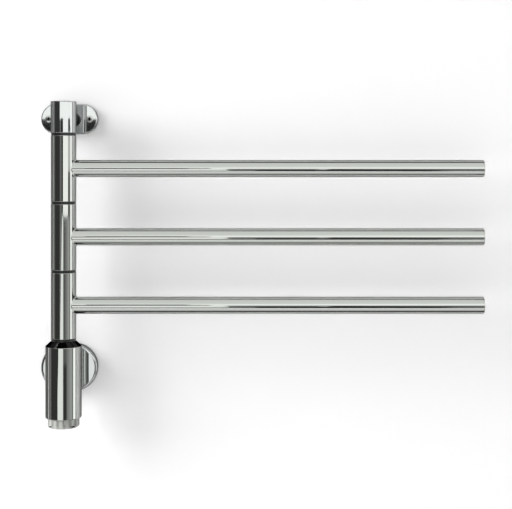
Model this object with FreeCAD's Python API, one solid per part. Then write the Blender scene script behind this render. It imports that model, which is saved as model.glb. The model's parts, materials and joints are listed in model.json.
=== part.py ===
# Swing arm towel bar: heated bars that swing on a post, which two necks hold off the wall.
# All lengths are in millimetres. The origin is the middle of the upper wall plate's back
# face. +X runs along the bars at rest, +Y goes into the wall and +Z is up.
import FreeCAD, Part
import math
import os
from FreeCAD import Vector

# ---------------------------------------------------------------- layout
POST_OFFSET = 46.0  # wall to the post's axis
ARM_COUNT = 3
ARM_PITCH = 76.2  # one bar's axis to the next one's
BAR_REACH = 468.6  # post's axis to a bar's tip

# ---------------------------------------------------------------- upper wall plate and barrel
UPPER_PLATE_WIDTH = 65.0
UPPER_PLATE_HEIGHT = 35.0
UPPER_PLATE_DEPTH = 7.0
PLATE_EDGE = 1.5  # rounding of both plates' front edges
UPPER_SCREW_SPACING = 47.0
UPPER_NECK_DIAMETER = 18.0
NECK_SCREW_DIAMETER = 6.0
NECK_SCREW_HEAD = 12.0
NECK_SOCKET_FLATS = 4.0
NECK_SOCKET_DEPTH = 3.5
BARREL_DIAMETER = 28.5
BARREL_HEIGHT = 34.5
BARREL_EDGE = 0.5
CAP_RIM = 0.6  # the cap's upright edge
CAP_DOME = 1.0  # the dome's rise above that edge
CAP_SPIGOT_DIAMETER = 20.0
CAP_SPIGOT_LENGTH = 4.0
GRUB_DIAMETER = 4.0
GRUB_SOCKET_FLATS = 2.0
GRUB_RISE = 4.5  # barrel's lower face to the grub screw's axis

# ---------------------------------------------------------------- post core and its washers
CORE_DIAMETER = 20.0
CORE_WALL = 2.0
CORE_IN_BARREL = 25.0
CORE_BELOW_NUT = 2.0
WASHER_THICKNESS = 3.0
WASHER_INSET = 0.3  # sleeve's face to the washer's rim
WINDOW_HEIGHT = 9.0
WINDOW_BACK = 2.2  # how far the window reaches behind the post's axis

# ---------------------------------------------------------------- arms
SLEEVE_DIAMETER = 28.0
SLEEVE_WALL = 1.5
SLEEVE_EDGE = 0.4
BUSH_LENGTH = 12.0
BAR_DIAMETER = 19.0
BAR_WALL = 1.2
END_CAP_THICKNESS = 1.6
END_CAP_EDGE = 1.0
END_CAP_PLUG = 6.0
LEAD_HOLE_DIAMETER = 9.0
ELEMENT_DIAMETER = 8.0
ELEMENT_START = 32.0  # post's axis to the element's near end
ELEMENT_SHORT_OF_TIP = 30.0
SPACER_COUNT = 3
SPACER_LENGTH = 8.0
ARM_LEAD_DIAMETER = 3.0
ARM_LEAD_DROP = 12.0  # bar's axis down to the lead's end
LEAD_BEND = 5.0

# ---------------------------------------------------------------- housing
HOUSING_DIAMETER = 40.0
HOUSING_WALL = 1.6
HOUSING_LENGTH = 79.5
HOUSING_EDGE = 0.6
SHOULDER_HEIGHT = 5.4
COLLAR_SPIGOT = 8.0
LOCKNUT_FLATS = 26.0
LOCKNUT_THICKNESS = 6.0

# ---------------------------------------------------------------- lower neck and wall plate
NECK_BELOW_MIDDLE = 0.4  # midway from the locknut to the terminal shelf, to the neck's axis
LOWER_NECK_DIAMETER = 22.0
NECK_SPIGOT_DIAMETER = 16.0
NECK_BORE = 11.0
NECK_NUT_FRONT = 10.0  # post's axis to the nut's inner face
NECK_THREAD_PAST_NUT = 0.8
COVER_WIDTH = 65.0
COVER_HEIGHT = 55.0
COVER_DEPTH = 10.0  # wall to the top of the cover's dome
COVER_DOME_RADIUS = 500.0  # so shallow that the face looks flat
COVER_EDGE = 3.0
COVER_WALL = 2.5
BASE_THICKNESS = 3.0
LOWER_SCREW_SPACING = 41.0
COVER_SCREW_DIAMETER = 2.8
COVER_SOCKET_FLATS = 1.5
COVER_SCREW_SUNK = 0.2  # cover's lower edge to the set screw's end
GROMMET_LENGTH = 6.0
CABLE_HOLE = 7.0

# ---------------------------------------------------------------- wall screws
WALL_HOLE = 5.5
WALL_SCREW_THREAD = 5.0
WALL_SCREW_SHANK = 4.2
WALL_SCREW_HEAD = 8.0
WALL_SCREW_DOME = 1.1
WALL_SCREW_IN_WALL = 30.0
WALL_SCREW_TIP = 4.0
WALL_SCREW_POINT = 0.6  # the tip's end, across
RECESS_WIDTH = 1.1
RECESS_SPAN = 4.4
RECESS_DEPTH = 1.6

# ---------------------------------------------------------------- inside the housing
TERMINAL_WIDTH = 20.0
TERMINAL_DEPTH = 12.0
TERMINAL_HEIGHT = 12.0
TERMINAL_BACK = 8.0  # post's axis to the block's back face
TERMINAL_SCREW_DIAMETER = 3.6
TERMINAL_SCREW_PITCH = 6.0
TERMINAL_SCREW_LENGTH = 4.0
TERMINAL_SLOT_WIDTH = 0.6
TERMINAL_SLOT_DEPTH = 1.0
SHELF_THICKNESS = 2.0
SHELF_ABOVE_SWITCH = 6.0
PANEL_THICKNESS = 5.0
PANEL_GAP = 0.2
UPRIGHT_WIDTH = 12.0
UPRIGHT_THICKNESS = 2.0
UPRIGHT_FRONT = 14.5  # post's axis to the upright's front face
PANEL_SCREW_DIAMETER = 3.0
PANEL_SCREW_DEPTH = 4.5
PANEL_SCREW_SUNK = 0.15  # housing's face to the grub screw's end
PANEL_SOCKET_FLATS = 1.5
PANEL_SOCKET_DEPTH = 2.0
SWITCH_DIAMETER = 26.0
SWITCH_HEIGHT = 12.0
SWITCH_BUSH_DIAMETER = 9.0
SWITCH_BUSH_LENGTH = 8.4
SWITCH_NUT_FLATS = 11.0
SWITCH_NUT_THICKNESS = 2.4
BLADE_WIDTH = 3.0
BLADE_THICKNESS = 0.8
BLADE_HEIGHT = 4.0
SWITCH_LEAD_DIAMETER = 2.0
SWITCH_LEAD_SPREAD = 8.0
SWITCH_LEAD_RISE = 4.0  # terminal block's underside to the switch leads
SWITCH_LEAD_FRONT = 9.0  # post's axis forward to the leads' upright run
SWITCH_LEAD_BEND = 2.5
POST_LEAD_DIAMETER = 2.4
POST_LEAD_RADIUS = 6.0  # post's axis to the leads' upright runs
POST_LEAD_STEP = 40.0  # degrees from one lead to the next
SPLICE_DIAMETER = 4.8
SPLICE_LENGTH = 9.0
EARTH_LEAD_DIAMETER = 1.8
BOARD_THICKNESS = 1.5
BOARD_HOLE = 14.0
BOARD_GAP = 3.0
LAMP_COUNT = 4
LAMP_DIAMETER = 3.0
LAMP_HEIGHT = 2.0
LAMP_EDGE = 0.6
LAMP_CIRCLE = 22.0

# ---------------------------------------------------------------- knob
KNOB_DIAMETER = 35.5
KNOB_SHOWN = 10.5  # how far it stands below the housing
KNOB_HIDDEN = 2.2  # how far its rim goes up inside
KNOB_WALL = 2.4
KNOB_FLOOR = 2.6
KNOB_EDGE = 2.0
KNOB_BOSS_DIAMETER = 11.0
KNOB_BOSS_GAP = 1.2  # boss to the switch's bush
FLUTE_COUNT = 16
FLUTE_WIDTH = 3.2
FLUTE_DEPTH = 0.5
NOTCH_COUNT = 4
NOTCH_WIDTH = 4.4
NOTCH_HEIGHT = 1.8
NOTCH_DEPTH = 1.6
NOTCH_RISE = 1.2
SPINDLE_DIAMETER = 6.0
SPINDLE_IN_SWITCH = 5.5

# ---------------------------------------------------------------- fits, as gaps on the radius
RUNNING_CLEARANCE = 0.05  # where one piece turns on another
SEAT_CLEARANCE = 0.05  # where one piece is screwed or pressed into another
COVER_CLEARANCE = 0.3  # the cover round its base plate, and round the neck
WASHER_CLEARANCE = 0.2

# ---------------------------------------------------------------- working margins
OVERRUN = 1.0  # how far a cut runs past the face that it opens
ON_FACE = 0.001  # how near to a face a corner counts as on it

# ---------------------------------------------------------------- heights worked out from these
SLEEVE_LENGTH = ARM_PITCH - WASHER_THICKNESS
BARREL_TOP = BARREL_HEIGHT / 2
BARREL_BOTTOM = -BARREL_HEIGHT / 2
FIRST_SLEEVE_TOP = BARREL_BOTTOM - WASHER_THICKNESS
COLLAR_TOP = BARREL_BOTTOM - ARM_COUNT * ARM_PITCH - WASHER_THICKNESS
SHELL_TOP = COLLAR_TOP - SHOULDER_HEIGHT
SHELL_BOTTOM = SHELL_TOP - HOUSING_LENGTH
COLLAR_BOTTOM = SHELL_TOP - COLLAR_SPIGOT
LOCKNUT_BOTTOM = COLLAR_BOTTOM - LOCKNUT_THICKNESS
CORE_TOP = BARREL_BOTTOM + CORE_IN_BARREL
CORE_BOTTOM = LOCKNUT_BOTTOM - CORE_BELOW_NUT
KNOB_TOP = SHELL_BOTTOM + KNOB_HIDDEN
KNOB_BOTTOM = SHELL_BOTTOM - KNOB_SHOWN
KNOB_INNER_FLOOR = KNOB_BOTTOM + KNOB_FLOOR
LAMP_BOTTOM = KNOB_TOP + BOARD_GAP - LAMP_HEIGHT
BOARD_BOTTOM = LAMP_BOTTOM + LAMP_HEIGHT
PANEL_BOTTOM = BOARD_BOTTOM + BOARD_THICKNESS
PANEL_TOP = PANEL_BOTTOM + PANEL_THICKNESS
SWITCH_TOP = PANEL_TOP + SWITCH_HEIGHT
SWITCH_BUSH_BOTTOM = PANEL_TOP - SWITCH_BUSH_LENGTH
SHELF_BOTTOM = SWITCH_TOP + SHELF_ABOVE_SWITCH
TERMINAL_BOTTOM = SHELF_BOTTOM + SHELF_THICKNESS
TERMINAL_TOP = TERMINAL_BOTTOM + TERMINAL_HEIGHT
LOWER_NECK_HEIGHT = (LOCKNUT_BOTTOM + TERMINAL_BOTTOM) / 2 - NECK_BELOW_MIDDLE

# ---------------------------------------------------------------- radii worked out from these
CORE_RADIUS = CORE_DIAMETER / 2
CORE_BORE_RADIUS = CORE_RADIUS - CORE_WALL
SLEEVE_RADIUS = SLEEVE_DIAMETER / 2
SLEEVE_BORE_RADIUS = SLEEVE_RADIUS - SLEEVE_WALL
BAR_RADIUS = BAR_DIAMETER / 2
BAR_BORE_RADIUS = BAR_RADIUS - BAR_WALL
HOUSING_RADIUS = HOUSING_DIAMETER / 2
HOUSING_BORE_RADIUS = HOUSING_RADIUS - HOUSING_WALL
BARREL_RADIUS = BARREL_DIAMETER / 2

X = Vector(1, 0, 0)
Y = Vector(0, 1, 0)
Z = Vector(0, 0, 1)
DOWN = Vector(0, 0, -1)
TO_FRONT = Vector(0, -1, 0)


# ---------------------------------------------------------------- shared shapes
def at_post(x, y, z):
    """A point given from the post's axis, with y towards the wall."""
    return Vector(x, y - POST_OFFSET, z)


def rod(radius, start, direction, length):
    """A cylinder from a point along a direction."""
    return Part.makeCylinder(radius, length, start, direction)


def post_rod(radius, low, high):
    """A cylinder on the post's axis."""
    return rod(radius, at_post(0, 0, low), Z, high - low)


def post_tube(outer, inner, low, high):
    """A tube on the post's axis."""
    return post_rod(outer, low, high).cut(post_rod(inner, low - OVERRUN, high + OVERRUN))


def hexagon(flats, start, direction, length):
    """A hexagonal prism from a point along a direction."""
    side = Vector(0, 0, 1) if abs(direction.z) < 0.5 else Vector(1, 0, 0)
    turn = FreeCAD.Rotation(direction, 60)
    corner = side * (flats / math.sqrt(3))
    points = [start + corner]
    for _ in range(6):
        corner = turn.multVec(corner)
        points.append(start + corner)
    points[-1] = points[0]
    return Part.Face(Part.makePolygon(points)).extrude(direction * length)


def obround(width, height, middle_z, back_y, depth):
    """A plate with round ends that stands forward from back_y, round in the wall's plane."""
    radius = height / 2
    reach = width / 2 - radius
    top_left = Vector(-reach, back_y, middle_z + radius)
    top_right = Vector(reach, back_y, middle_z + radius)
    low_left = Vector(-reach, back_y, middle_z - radius)
    low_right = Vector(reach, back_y, middle_z - radius)
    right_end = Vector(reach + radius, back_y, middle_z)
    left_end = Vector(-reach - radius, back_y, middle_z)
    outline = Part.Wire(
        [
            Part.LineSegment(top_left, top_right).toShape(),
            Part.Arc(top_right, right_end, low_right).toShape(),
            Part.LineSegment(low_right, low_left).toShape(),
            Part.Arc(low_left, left_end, top_left).toShape(),
        ]
    )
    return Part.Face(outline).extrude(TO_FRONT * depth)


def dome_rim_y(rim_radius, depth, dome_radius):
    """How far forward a dome of that depth still stands at its rim."""
    return dome_radius - depth - math.sqrt(dome_radius**2 - rim_radius**2)


def domed_obround(width, height, middle_z, back_y, depth, dome_radius):
    """An obround with a domed front, made of two turned ends and a straight middle."""
    radius = height / 2
    reach = width / 2 - radius
    rim_y = dome_rim_y(radius, depth, dome_radius)
    half_angle = math.asin(radius / dome_radius) / 2
    arc_z = dome_radius * math.sin(half_angle)
    arc_y = dome_radius - depth - dome_radius * math.cos(half_angle)
    upper_arc = Part.Arc(
        Vector(0, rim_y, middle_z + radius),
        Vector(0, arc_y, middle_z + arc_z),
        Vector(0, -depth, middle_z),
    ).toShape()
    lower_arc = Part.Arc(
        Vector(0, -depth, middle_z),
        Vector(0, arc_y, middle_z - arc_z),
        Vector(0, rim_y, middle_z - radius),
    ).toShape()
    apex = Vector(0, -depth, middle_z)
    foot = Vector(0, back_y, middle_z)
    top_back = Vector(0, back_y, middle_z + radius)
    top_rim = Vector(0, rim_y, middle_z + radius)
    low_back = Vector(0, back_y, middle_z - radius)
    low_rim = Vector(0, rim_y, middle_z - radius)
    half_section = Part.Wire(
        [
            Part.LineSegment(foot, top_back).toShape(),
            Part.LineSegment(top_back, top_rim).toShape(),
            upper_arc,
            Part.LineSegment(apex, foot).toShape(),
        ]
    )
    whole_section = Part.Wire(
        [
            Part.LineSegment(top_back, top_rim).toShape(),
            upper_arc,
            lower_arc,
            Part.LineSegment(low_rim, low_back).toShape(),
            Part.LineSegment(low_back, top_back).toShape(),
        ]
    )
    turned_end = Part.Face(half_section).revolve(foot, TO_FRONT, 360)
    left_end = turned_end.translated(X * -reach)
    right_end = turned_end.translated(X * reach)
    middle = Part.Face(whole_section).extrude(X * (2 * reach)).translated(X * -reach)
    return middle.fuse([left_end, right_end]).removeSplitter()


def round_edges(shape, radius, wanted):
    """The shape with a rounding on each edge whose every end passes the test."""
    edges = [e for e in shape.Edges if all(wanted(v.Point) for v in e.Vertexes)]
    return shape.makeFillet(radius, edges)


def round_rim(shape, radius, height, rim_radius):
    """The shape with its round rim at one height on the post's axis rounded."""
    middle = at_post(0, 0, height)

    def on_rim(point):
        return (
            abs(point.z - height) < ON_FACE
            and abs(point.distanceToPoint(middle) - rim_radius) < ON_FACE
        )

    return round_edges(shape, radius, on_rim)


def lead(points, radius, bend):
    """A round lead along straight runs, joined by arcs that touch both runs."""
    edges = []
    start = points[0]
    for before, corner, after in zip(points, points[1:], points[2:]):
        to_before = (before - corner).normalize()
        to_after = (after - corner).normalize()
        half_angle = to_before.getAngle(to_after) / 2
        back = bend / math.tan(half_angle)
        arc_start = corner + to_before * back
        arc_end = corner + to_after * back
        inward = (to_before + to_after).normalize()
        arc_middle = corner + inward * (bend / math.sin(half_angle) - bend)
        edges.append(Part.LineSegment(start, arc_start).toShape())
        edges.append(Part.Arc(arc_start, arc_middle, arc_end).toShape())
        start = arc_end
    edges.append(Part.LineSegment(start, points[-1]).toShape())
    first_run = (points[1] - points[0]).normalize()
    section = Part.Wire(Part.makeCircle(radius, points[0], first_run))
    return Part.Wire(edges).makePipeShell([section], True, False)


def wall_screw(x, z, face_y):
    """A raised countersunk screw with its head flush in a face and its thread in the wall."""
    head = WALL_SCREW_HEAD / 2
    shank = WALL_SCREW_SHANK / 2
    thread = WALL_SCREW_THREAD / 2
    head_depth = head - shank
    sphere_radius = (head**2 + WALL_SCREW_DOME**2) / (2 * WALL_SCREW_DOME)
    sphere_middle = Vector(x, face_y - WALL_SCREW_DOME + sphere_radius, z)
    dome = Part.makeSphere(sphere_radius, sphere_middle)
    dome = dome.common(rod(head, Vector(x, face_y, z), TO_FRONT, WALL_SCREW_DOME + OVERRUN))
    cone = Part.makeCone(shank, head, head_depth, Vector(x, face_y + head_depth, z), TO_FRONT)
    shank_rod = rod(shank, Vector(x, face_y + head_depth, z), Y, -face_y - head_depth)
    thread_rod = rod(thread, Vector(x, 0, z), Y, WALL_SCREW_IN_WALL)
    tip_base = Vector(x, WALL_SCREW_IN_WALL, z)
    tip = Part.makeCone(thread, WALL_SCREW_POINT / 2, WALL_SCREW_TIP, tip_base, Y)
    screw = dome.fuse([cone, shank_rod, thread_rod, tip]).removeSplitter()
    recess_front = face_y - WALL_SCREW_DOME - OVERRUN
    for across, up in ((RECESS_SPAN, RECESS_WIDTH), (RECESS_WIDTH, RECESS_SPAN)):
        corner = Vector(x - across / 2, recess_front, z - up / 2)
        slot = Part.makeBox(across, RECESS_DEPTH + OVERRUN, up, corner)
        screw = screw.cut(slot)
    return screw


def wall_screw_hole(x, z, face_y):
    """The clearance hole and countersink for one wall screw."""
    head = WALL_SCREW_HEAD / 2 + SEAT_CLEARANCE
    hole = WALL_HOLE / 2
    shaft = rod(hole, Vector(x, OVERRUN, z), TO_FRONT, 2 * OVERRUN - face_y)
    sink = Part.makeCone(hole, head, head - hole, Vector(x, face_y + head - hole, z), TO_FRONT)
    return shaft.fuse(sink)


def screw_pair(spacing, z, face_y):
    """The two wall screws of one plate."""
    return [wall_screw(side * spacing / 2, z, face_y) for side in (-1, 1)]


# ---------------------------------------------------------------- upper bracket
def upper_wall_plate():
    """The plate on the wall, with its two screw holes and the neck screw's hole."""
    front = -UPPER_PLATE_DEPTH
    plate = obround(UPPER_PLATE_WIDTH, UPPER_PLATE_HEIGHT, 0, 0, UPPER_PLATE_DEPTH)
    plate = round_edges(plate, PLATE_EDGE, lambda point: abs(point.y - front) < ON_FACE)
    for side in (-1, 1):
        plate = plate.cut(wall_screw_hole(side * UPPER_SCREW_SPACING / 2, 0, front))
    return plate.cut(neck_screw_hole())


def neck_screw_parts(gap):
    """The neck screw's countersunk head and thread, grown by a gap."""
    head = NECK_SCREW_HEAD / 2 + gap
    thread = NECK_SCREW_DIAMETER / 2 + gap
    head_depth = head - thread
    cone = Part.makeCone(head, thread, head_depth, Vector(0, 0, 0), TO_FRONT)
    tip_y = CORE_RADIUS + WASHER_CLEARANCE - POST_OFFSET
    shaft = rod(thread, Vector(0, -head_depth, 0), TO_FRONT, -head_depth - tip_y)
    return cone.fuse(shaft).removeSplitter()


def neck_screw_hole():
    """The hole that the neck screw needs through plate, neck and barrel."""
    return neck_screw_parts(SEAT_CLEARANCE)


def upper_neck_screw():
    """The countersunk screw from behind the plate into the barrel."""
    start = Vector(0, OVERRUN, 0)
    socket = hexagon(NECK_SOCKET_FLATS, start, TO_FRONT, NECK_SOCKET_DEPTH + OVERRUN)
    return neck_screw_parts(0).cut(socket)


def upper_neck():
    """The short stem between the plate and the barrel, hollowed to the barrel's round."""
    plate_front = Vector(0, -UPPER_PLATE_DEPTH, 0)
    stem = rod(UPPER_NECK_DIAMETER / 2, plate_front, TO_FRONT, POST_OFFSET - UPPER_PLATE_DEPTH)
    seat = post_rod(BARREL_RADIUS + SEAT_CLEARANCE, BARREL_BOTTOM, BARREL_TOP)
    return stem.cut(seat).cut(neck_screw_hole())


def grub_hole():
    """The grub screw's threaded hole through the barrel's back wall."""
    start = at_post(0, CORE_RADIUS, BARREL_BOTTOM + GRUB_RISE)
    return rod(GRUB_DIAMETER / 2 + SEAT_CLEARANCE, start, Y, BARREL_RADIUS)


def barrel_grub_screw():
    """The grub screw that grips the core tube from the barrel's back."""
    start = at_post(0, CORE_RADIUS + SEAT_CLEARANCE, BARREL_BOTTOM + GRUB_RISE)
    length = BARREL_RADIUS - CORE_RADIUS - 2 * SEAT_CLEARANCE
    socket = hexagon(GRUB_SOCKET_FLATS, start + Y * (length / 2), Y, length)
    return rod(GRUB_DIAMETER / 2, start, Y, length).cut(socket)


def upper_barrel():
    """The post's head, with a socket for the core tube and a recess for the cap."""
    barrel = post_rod(BARREL_RADIUS, BARREL_BOTTOM, BARREL_TOP)
    barrel = round_rim(barrel, BARREL_EDGE, BARREL_BOTTOM, BARREL_RADIUS)
    socket = post_rod(CORE_RADIUS + SEAT_CLEARANCE, BARREL_BOTTOM - OVERRUN, CORE_TOP)
    spigot_radius = CAP_SPIGOT_DIAMETER / 2 + SEAT_CLEARANCE
    recess_floor = BARREL_TOP - CAP_SPIGOT_LENGTH
    recess = post_rod(spigot_radius, recess_floor, BARREL_TOP + OVERRUN)
    return barrel.cut(socket).cut(recess).cut(neck_screw_hole()).cut(grub_hole())


def barrel_cap():
    """The domed cap with the spigot that seats in the barrel."""
    rim_top = BARREL_TOP + CAP_RIM
    sphere_radius = (BARREL_RADIUS**2 + CAP_DOME**2) / (2 * CAP_DOME)
    sphere = Part.makeSphere(sphere_radius, at_post(0, 0, rim_top + CAP_DOME - sphere_radius))
    dome = post_rod(BARREL_RADIUS, BARREL_TOP, rim_top + CAP_DOME + OVERRUN).common(sphere)
    spigot = post_rod(CAP_SPIGOT_DIAMETER / 2, BARREL_TOP - CAP_SPIGOT_LENGTH, BARREL_TOP)
    return dome.fuse(spigot).removeSplitter()


# ---------------------------------------------------------------- post
def arm_height(number):
    """The height of one bar's axis, counted from the top."""
    return FIRST_SLEEVE_TOP - SLEEVE_LENGTH / 2 - number * ARM_PITCH


def post_core_tube():
    """The tube that the sleeves turn on, open at the front beside each bar."""
    core = post_tube(CORE_RADIUS, CORE_BORE_RADIUS, CORE_BOTTOM, CORE_TOP)
    reach = CORE_RADIUS + OVERRUN
    for number in range(ARM_COUNT):
        corner = at_post(-reach, -reach, arm_height(number) - WINDOW_HEIGHT / 2)
        core = core.cut(Part.makeBox(2 * reach, reach + WINDOW_BACK, WINDOW_HEIGHT, corner))
    return core


def bearing_washers():
    """One washer above each sleeve, and one under the last."""
    outer = SLEEVE_RADIUS - WASHER_INSET
    inner = CORE_RADIUS + WASHER_CLEARANCE
    tops = [BARREL_BOTTOM - number * ARM_PITCH for number in range(ARM_COUNT + 1)]
    return [post_tube(outer, inner, top - WASHER_THICKNESS, top) for top in tops]


def post_locknut():
    """The nut on the core's lower end, which pulls the post together."""
    nut = hexagon(LOCKNUT_FLATS, at_post(0, 0, LOCKNUT_BOTTOM), Z, LOCKNUT_THICKNESS)
    low = LOCKNUT_BOTTOM - OVERRUN
    high = COLLAR_BOTTOM + OVERRUN
    return nut.cut(post_rod(CORE_RADIUS + SEAT_CLEARANCE, low, high))


# ---------------------------------------------------------------- arms
def arm_sleeve(height):
    """The turning sleeve, with the hole that its bar's lead comes through."""
    low = height - SLEEVE_LENGTH / 2
    high = height + SLEEVE_LENGTH / 2
    sleeve = post_rod(SLEEVE_RADIUS, low, high)
    sleeve = round_rim(sleeve, SLEEVE_EDGE, low, SLEEVE_RADIUS)
    sleeve = round_rim(sleeve, SLEEVE_EDGE, high, SLEEVE_RADIUS)
    sleeve = sleeve.cut(post_rod(SLEEVE_BORE_RADIUS, low - OVERRUN, high + OVERRUN))
    return sleeve.cut(rod(LEAD_HOLE_DIAMETER / 2, at_post(0, 0, height), X, SLEEVE_DIAMETER))


def arm_bushes(height):
    """The sleeve's two bushes, one at each end."""
    outer = SLEEVE_BORE_RADIUS - SEAT_CLEARANCE
    inner = CORE_RADIUS + RUNNING_CLEARANCE
    lows = (height - SLEEVE_LENGTH / 2, height + SLEEVE_LENGTH / 2 - BUSH_LENGTH)
    return [post_tube(outer, inner, low, low + BUSH_LENGTH) for low in lows]


def arm_bar(height):
    """The bar's tube, cut to the sleeve's round where it is welded on."""
    length = BAR_REACH - END_CAP_THICKNESS
    tube = rod(BAR_RADIUS, at_post(0, 0, height), X, length)
    tube = tube.cut(rod(BAR_BORE_RADIUS, at_post(0, 0, height), X, length + OVERRUN))
    return tube.cut(post_rod(SLEEVE_RADIUS, height - SLEEVE_LENGTH / 2, height + SLEEVE_LENGTH / 2))


def arm_end_cap(height):
    """The cap that closes the bar's tip, with its plug inside the tube."""
    face = at_post(BAR_REACH - END_CAP_THICKNESS, 0, height)
    disc = rod(BAR_RADIUS, face, X, END_CAP_THICKNESS)
    disc = round_edges(disc, END_CAP_EDGE, lambda point: abs(point.x - BAR_REACH) < ON_FACE)
    plug = rod(BAR_BORE_RADIUS - SEAT_CLEARANCE, face, X * -1, END_CAP_PLUG)
    return disc.fuse(plug).removeSplitter()


def arm_element(height):
    """The heating rod along the bar's middle."""
    length = BAR_REACH - ELEMENT_SHORT_OF_TIP - ELEMENT_START
    return rod(ELEMENT_DIAMETER / 2, at_post(ELEMENT_START, 0, height), X, length)


def arm_spacers(height):
    """The rings that hold the heating rod in the middle of the bar."""
    outer = BAR_BORE_RADIUS - SEAT_CLEARANCE
    inner = ELEMENT_DIAMETER / 2 + SEAT_CLEARANCE
    length = BAR_REACH - ELEMENT_SHORT_OF_TIP - ELEMENT_START
    rings = []
    for number in range(SPACER_COUNT):
        x = ELEMENT_START + length * (number + 0.5) / SPACER_COUNT - SPACER_LENGTH / 2
        ring = rod(outer, at_post(x, 0, height), X, SPACER_LENGTH)
        hole_start = at_post(x - OVERRUN, 0, height)
        rings.append(ring.cut(rod(inner, hole_start, X, SPACER_LENGTH + 2 * OVERRUN)))
    return rings


def arm_lead(height):
    """The element's lead, in to the post's axis and down along it."""
    points = [
        at_post(ELEMENT_START, 0, height),
        at_post(0, 0, height),
        at_post(0, 0, height - ARM_LEAD_DROP),
    ]
    return lead(points, ARM_LEAD_DIAMETER / 2, LEAD_BEND)


# ---------------------------------------------------------------- housing
def housing_collar():
    """The sloped shoulder that the post stands on, with its spigot inside the shell."""
    slope = Part.makeCone(
        HOUSING_RADIUS, SLEEVE_RADIUS, SHOULDER_HEIGHT, at_post(0, 0, SHELL_TOP), Z
    )
    spigot = post_rod(HOUSING_BORE_RADIUS - SEAT_CLEARANCE, COLLAR_BOTTOM, SHELL_TOP)
    low = COLLAR_BOTTOM - OVERRUN
    high = COLLAR_TOP + OVERRUN
    bore = post_rod(CORE_RADIUS + SEAT_CLEARANCE, low, high)
    return slope.fuse(spigot).removeSplitter().cut(bore)


def housing_shell():
    """The drum that hides the wiring, with holes for the neck and the panel's grub screw."""
    shell = post_rod(HOUSING_RADIUS, SHELL_BOTTOM, SHELL_TOP)
    shell = round_rim(shell, HOUSING_EDGE, SHELL_BOTTOM, HOUSING_RADIUS)
    shell = round_rim(shell, HOUSING_EDGE, SHELL_TOP, HOUSING_RADIUS)
    bore = post_rod(HOUSING_BORE_RADIUS, SHELL_BOTTOM - OVERRUN, SHELL_TOP + OVERRUN)
    shell = shell.cut(bore)
    spigot_radius = NECK_SPIGOT_DIAMETER / 2 + SEAT_CLEARANCE
    shell = shell.cut(rod(spigot_radius, at_post(0, 0, LOWER_NECK_HEIGHT), Y, HOUSING_DIAMETER))
    return shell.cut(panel_screw_hole())


# ---------------------------------------------------------------- lower neck and wall plate
def neck_nut():
    """The nut inside the shell, rounded at its back to sit in the shell."""
    front = at_post(0, NECK_NUT_FRONT, LOWER_NECK_HEIGHT)
    blank = rod(LOWER_NECK_DIAMETER / 2, front, Y, HOUSING_RADIUS)
    inside = post_rod(HOUSING_BORE_RADIUS - SEAT_CLEARANCE, SHELL_BOTTOM, SHELL_TOP)
    hole = rod(NECK_SPIGOT_DIAMETER / 2 + SEAT_CLEARANCE, front - Y, Y, HOUSING_RADIUS)
    return blank.common(inside).cut(hole)


def lower_neck():
    """The hollow stem from the base plate to the housing, threaded at both ends."""
    z = LOWER_NECK_HEIGHT
    stem = rod(LOWER_NECK_DIAMETER / 2, Vector(0, -BASE_THICKNESS, z), TO_FRONT, POST_OFFSET)
    stem = stem.common(rod(LOWER_NECK_DIAMETER, at_post(0, 0, z), Y, POST_OFFSET))
    stem = stem.cut(post_rod(HOUSING_RADIUS + SEAT_CLEARANCE, SHELL_BOTTOM, SHELL_TOP))
    thread_end = NECK_NUT_FRONT - NECK_THREAD_PAST_NUT
    spigot = rod(NECK_SPIGOT_DIAMETER / 2, at_post(0, thread_end, z), Y, POST_OFFSET - thread_end)
    bore = rod(NECK_BORE / 2, at_post(0, 0, z), Y, POST_OFFSET + OVERRUN)
    return stem.fuse(spigot).removeSplitter().cut(bore)


def lower_cover_plate():
    """The domed cover over the base plate, open at the wall."""
    z = LOWER_NECK_HEIGHT
    rim_y = dome_rim_y(COVER_HEIGHT / 2, COVER_DEPTH, COVER_DOME_RADIUS)
    cover = domed_obround(COVER_WIDTH, COVER_HEIGHT, z, 0, COVER_DEPTH, COVER_DOME_RADIUS)
    cover = round_edges(cover, COVER_EDGE, lambda point: abs(point.y - rim_y) < ON_FACE)
    inner_width = COVER_WIDTH - 2 * COVER_WALL
    inner_height = COVER_HEIGHT - 2 * COVER_WALL
    inner_depth = COVER_DEPTH - COVER_WALL
    inner_dome = COVER_DOME_RADIUS - COVER_WALL
    hollow = domed_obround(inner_width, inner_height, z, OVERRUN, inner_depth, inner_dome)
    neck_radius = LOWER_NECK_DIAMETER / 2 + COVER_CLEARANCE
    neck_way = rod(neck_radius, Vector(0, OVERRUN, z), TO_FRONT, COVER_DEPTH + 2 * OVERRUN)
    screw_way = cover_screw_rod(SEAT_CLEARANCE, COVER_WALL + OVERRUN)
    return cover.cut(hollow).cut(neck_way).cut(screw_way)


def cover_screw_rod(gap, length):
    """A rod on the cover's set screw axis, from the base plate's lower edge downwards."""
    edge = COVER_HEIGHT / 2 - COVER_WALL - COVER_CLEARANCE
    start = Vector(0, -BASE_THICKNESS / 2, LOWER_NECK_HEIGHT - edge)
    return rod(COVER_SCREW_DIAMETER / 2 + gap, start, DOWN, length)


def cover_set_screw():
    """The set screw through the cover's lower edge, against the base plate."""
    edge = COVER_HEIGHT / 2 - COVER_WALL - COVER_CLEARANCE
    start = Vector(0, -BASE_THICKNESS / 2, LOWER_NECK_HEIGHT - edge - COVER_WALL / 2)
    socket = hexagon(COVER_SOCKET_FLATS, start, DOWN, COVER_WALL)
    length = COVER_WALL + COVER_CLEARANCE - COVER_SCREW_SUNK
    return cover_screw_rod(0, length).cut(socket)


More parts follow.
